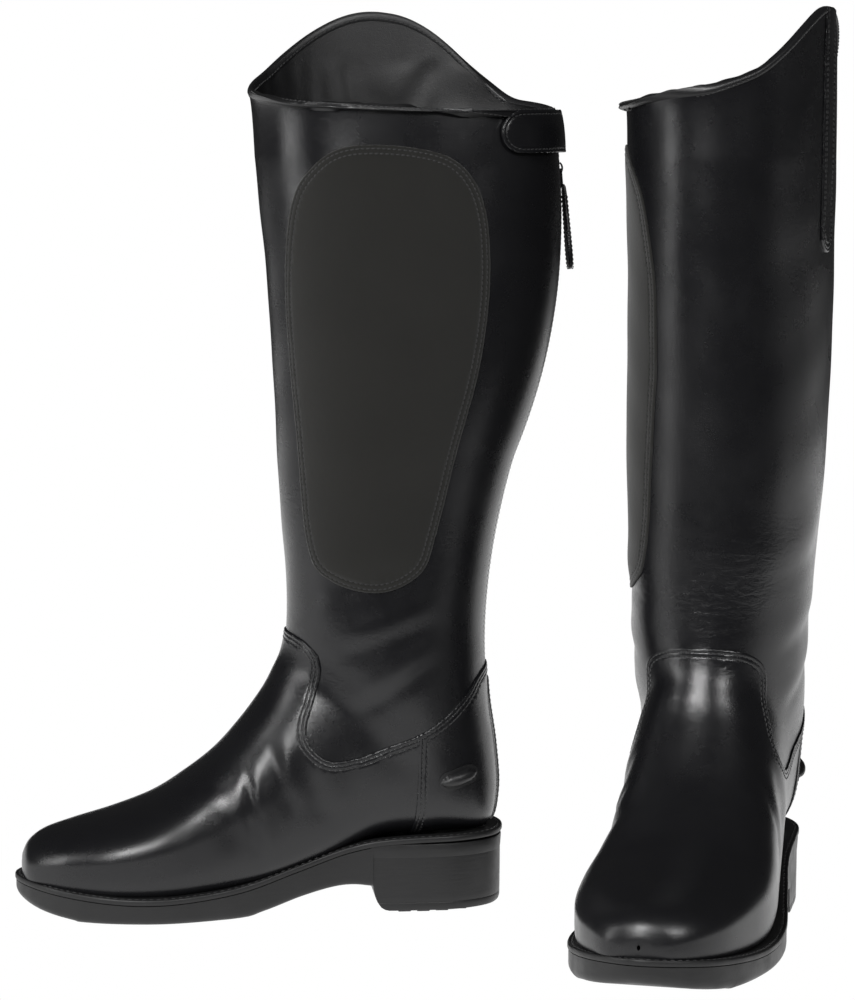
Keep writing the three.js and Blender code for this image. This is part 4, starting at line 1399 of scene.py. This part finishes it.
def sole_grid(outline):
    """Grid over the sole in front of the heel: coarse at the waist, fine where the tread is."""
    waist, toe, tip = 150, 262, outline[:, 0].max() - 0.01
    x = np.concatenate([np.linspace(SOLE_BOTTOM[0][0], waist, 60),
                        np.linspace(waist, toe, 330)[1:],
                        tip - (tip - toe) * (1 - np.linspace(0, 1, 40)[1:]) ** 2])
    low, high = half_widths(outline, x)
    spread = 0.5 - 0.5 * np.cos(np.linspace(0, math.pi, 41))
    return (np.repeat(x[:, None], len(spread), axis=1),
            low[:, None] + (high - low)[:, None] * spread)


def build_outsole():
    outline = inset_outline(OUTSOLE["inset"])
    x, y = sole_grid(outline)
    flat = np.column_stack([x.ravel(), np.zeros(x.size), y.ravel()])
    edge = np.maximum(side_distance(flat, outline), 0).reshape(x.shape)
    radius = OUTSOLE["edge_radius"]
    lift = radius - np.sqrt(np.maximum(radius ** 2 - np.maximum(radius - edge, 0) ** 2, 0))
    bottom = height_along(SOLE_BOTTOM, x) + lift + sole_tread(x, y, edge)
    top = height_along(WELT_TOP, x) - OUTSOLE["under_welt"]
    # the top closes on the rim only; under the foot it stays below the upper
    under_foot = np.where(edge > OUTSOLE["rim"], floor_height(x) - OUTSOLE["under_foot"], top)
    body = slab_body(x, y, np.minimum(top, under_foot), bottom)
    both("outsole_rubber", "boot", RUBBER, "rubber", body, ("outsole",))


def slab_body(grid_x, grid_y, top, bottom):
    """Closed body between two heights over a grid in plan."""
    rows, columns = grid_x.shape
    total = rows * columns
    verts = np.vstack([np.column_stack([grid_x.ravel(), grid_y.ravel(), top.ravel()]),
                       np.column_stack([grid_x.ravel(), grid_y.ravel(), bottom.ravel()])])
    index = np.arange(total).reshape(rows, columns)
    quads = np.stack([index[:-1, :-1], index[1:, :-1], index[1:, 1:], index[:-1, 1:]], -1)
    quads = quads.reshape(-1, 4)
    faces = quads.tolist() + (quads[:, ::-1] + total).tolist()
    rim = np.concatenate([index[0, :-1], index[:-1, -1], index[-1, :0:-1], index[:0:-1, 0]])
    for a, b in zip(rim, np.roll(rim, -1)):
        faces.append((int(a), int(b), int(b) + total, int(a) + total))
    return verts, outward_faces(verts, faces)


def heel_ring(front, inset, count=88, across=20):
    """The heel's outline cut off straight at its front."""
    outline = inset_outline(inset)
    half = outline[outline[:, 0] < front]
    order = np.argsort(np.arctan2(half[:, 1], -(half[:, 0] - front / 2)))
    half = half[order]
    low, high = half_widths(outline, np.array([front]))
    half = np.vstack([[front, low[0]], half, [front, high[0]]])
    padded = np.column_stack([half, np.zeros(len(half))])
    curve = resample(padded, 1.0)
    lengths = np.linspace(0, len(curve) - 1, count)
    curve = np.column_stack([np.interp(lengths, np.arange(len(curve)), curve[:, k]) for k in (0, 1)])
    front_y = np.linspace(high[0], low[0], across + 2)[1:-1]
    return np.vstack([curve, np.column_stack([np.full(across, front), front_y])])


def heel_stack(levels):
    """Body through the heel's outline at some levels of height, front and inset."""
    rings = []
    for height, front, inset in levels:
        ring = heel_ring(front, inset)
        rings.append(np.column_stack([ring, np.full(len(ring), height)]))
    return stack_rings(rings)


# Levels of the heel: height, front, inset from the outline.
HEEL_SEAT = [(32.9, 79.5, 1.2), (33.3, 79.5, 1.0), (39.6, 79.5, 0.6), (40.6, 79.5, 0.9)]
HEEL_BLOCK = [(33.1, 79.5, 1.2), (24, 79.0, 1.2), (15, 78.2, 1.3), (9.4, 77.0, 1.35),
              (6.5, 75.8, 1.4), (6.1, 75.4, 1.6)]
HEEL_CAP = [(6.0, 75.3, 1.6), (5.6, 75.2, 1.4), (3.4, 73.6, 1.5), (2.0, 71.4, 1.9),
            (1.3, 69.0, 2.6)]
HEEL_PADS = {"first": 12.0, "end": 66.0, "pitch": 11.0, "length": 7.5, "inset": 5.5, "high": 1.6}


def heel_pads():
    """Low rubber bars across the underside of the cap."""
    outline = inset_outline(HEEL_PADS["inset"])
    for front in np.arange(HEEL_PADS["first"], HEEL_PADS["end"], HEEL_PADS["pitch"]):
        end = front + HEEL_PADS["length"]
        low, high = half_widths(outline, np.array([front, end]))
        yield rounded_box((front, low.max(), 0.0), (end, high.min(), HEEL_PADS["high"]), 0.5)


def build_heel():
    """The seat above the heel, the heel block, and the cap with its tread."""
    cap = join_bodies(heel_stack(HEEL_CAP), *heel_pads())
    both("heel_seat", "boot", RUBBER, "rubber", heel_stack(HEEL_SEAT))
    both("heel_lift", "boot", RUBBER, "rubber", heel_stack(HEEL_BLOCK), ("heel_block",))
    both("heel_tread", "boot", RUBBER, "rubber", cap, ("heel_cap",))


# ---- put together -----------------------------------------------------------------------------

for build in (build_shaft, build_foot, build_grip, build_swagger_tab, build_spur_rests,
              build_backstrap, build_lining, build_insole, build_binding, build_zip,
              build_guard_and_stop, build_slider, build_puller, build_strap, build_welt,
              build_outsole, build_heel):
    build()

HIDDEN_PIECES = (("shank", METAL), ("toe_puff", BOARD), ("heel_stiffener", BOARD),
                 ("snap_stud", METAL), ("snap_socket", METAL))
for side in SIDES:
    for name, material in HIDDEN_PIECES:
        node = frame["nodes"][f"{side}_{name}"]
        node.data.materials.clear()
        node.data.materials.append(material)

# ---- backdrop, lights and camera --------------------------------------------------------------


LAMPS = [  # name, place, aimed at, size, watts; in metres
    ("key", (-0.75, -1.7, 1.5), (0, 0, 0.25), (0.4, 0.55), 30),
    ("fill", (0.85, -1.6, 1.3), (0, 0, 0.25), (0.3, 0.45), 13),
    ("left_window", (-1.7, -0.6, 0.7), (0, 0, 0.25), (0.3, 1.2), 9),
    ("shaft_glow", (-0.9, -2.0, 0.8), (0, 0, 0.4), (0.25, 0.5), 5),
]
SURROUND_LIGHT = 0.03
TABLE = {"half_width": 2.5, "front": -0.35, "back": 2.2, "z": -0.001}


def build_table():
    """A glowing white table top just under the soles."""
    paint = Paint("table_glow")
    paint.set(Base_Color=(0, 0, 0, 1), Emission_Color=(1, 1, 1, 1), Emission_Strength=1.0,
              Specular_IOR_Level=0.0)
    corners = [(side * TABLE["half_width"], TABLE[edge], TABLE["z"])
               for side, edge in ((-1, "front"), (1, "front"), (1, "back"), (-1, "back"))]
    mesh = bpy.data.meshes.new("table")
    mesh.from_pydata(corners, [], [(0, 1, 2, 3)])
    mesh.materials.append(paint.material)
    table = bpy.data.objects.new("table", mesh)
    bpy.context.scene.collection.objects.link(table)


def build_lamp(name, place, target, size, power):
    light = bpy.data.lights.new(name, "AREA")
    light.shape = "RECTANGLE"
    light.size, light.size_y = size
    light.energy = power
    lamp = bpy.data.objects.new(name, light)
    lamp.location = place
    lamp.rotation_euler = (Vector(target) - Vector(place)).to_track_quat("-Z", "Y").to_euler()
    bpy.context.scene.collection.objects.link(lamp)


def build_world():
    """A white surround behind the object, which itself lights the object only a little."""
    world = bpy.data.worlds.new("studio")
    bpy.context.scene.world = world
    world.use_nodes = True
    tree = world.node_tree
    ray = tree.nodes.new("ShaderNodeLightPath")
    brightness = tree.nodes.new("ShaderNodeMapRange")
    brightness.inputs["To Min"].default_value = SURROUND_LIGHT
    tree.links.new(ray.outputs["Is Camera Ray"], brightness.inputs["Value"])
    background = tree.nodes["Background"]
    background.inputs["Color"].default_value = (1, 1, 1, 1)
    tree.links.new(brightness.outputs["Result"], background.inputs["Strength"])


CAMERA = {"place": (0.0018, -1.9408, 0.459), "looks_down": 0.109, "lens": 146.4, "sensor": 36.0}


def build_camera():
    camera = bpy.data.cameras.new("camera")
    camera.sensor_fit = "HORIZONTAL"
    camera.sensor_width = CAMERA["sensor"]
    camera.lens = CAMERA["lens"]
    holder = bpy.data.objects.new("camera", camera)
    holder.location = CAMERA["place"]
    holder.rotation_euler = (math.pi / 2 - CAMERA["looks_down"], 0, 0)
    bpy.context.scene.collection.objects.link(holder)
    bpy.context.scene.camera = holder


build_table()
for lamp in LAMPS:
    build_lamp(*lamp)
build_world()
build_camera()
bpy.context.scene.view_settings.view_transform = "Standard"
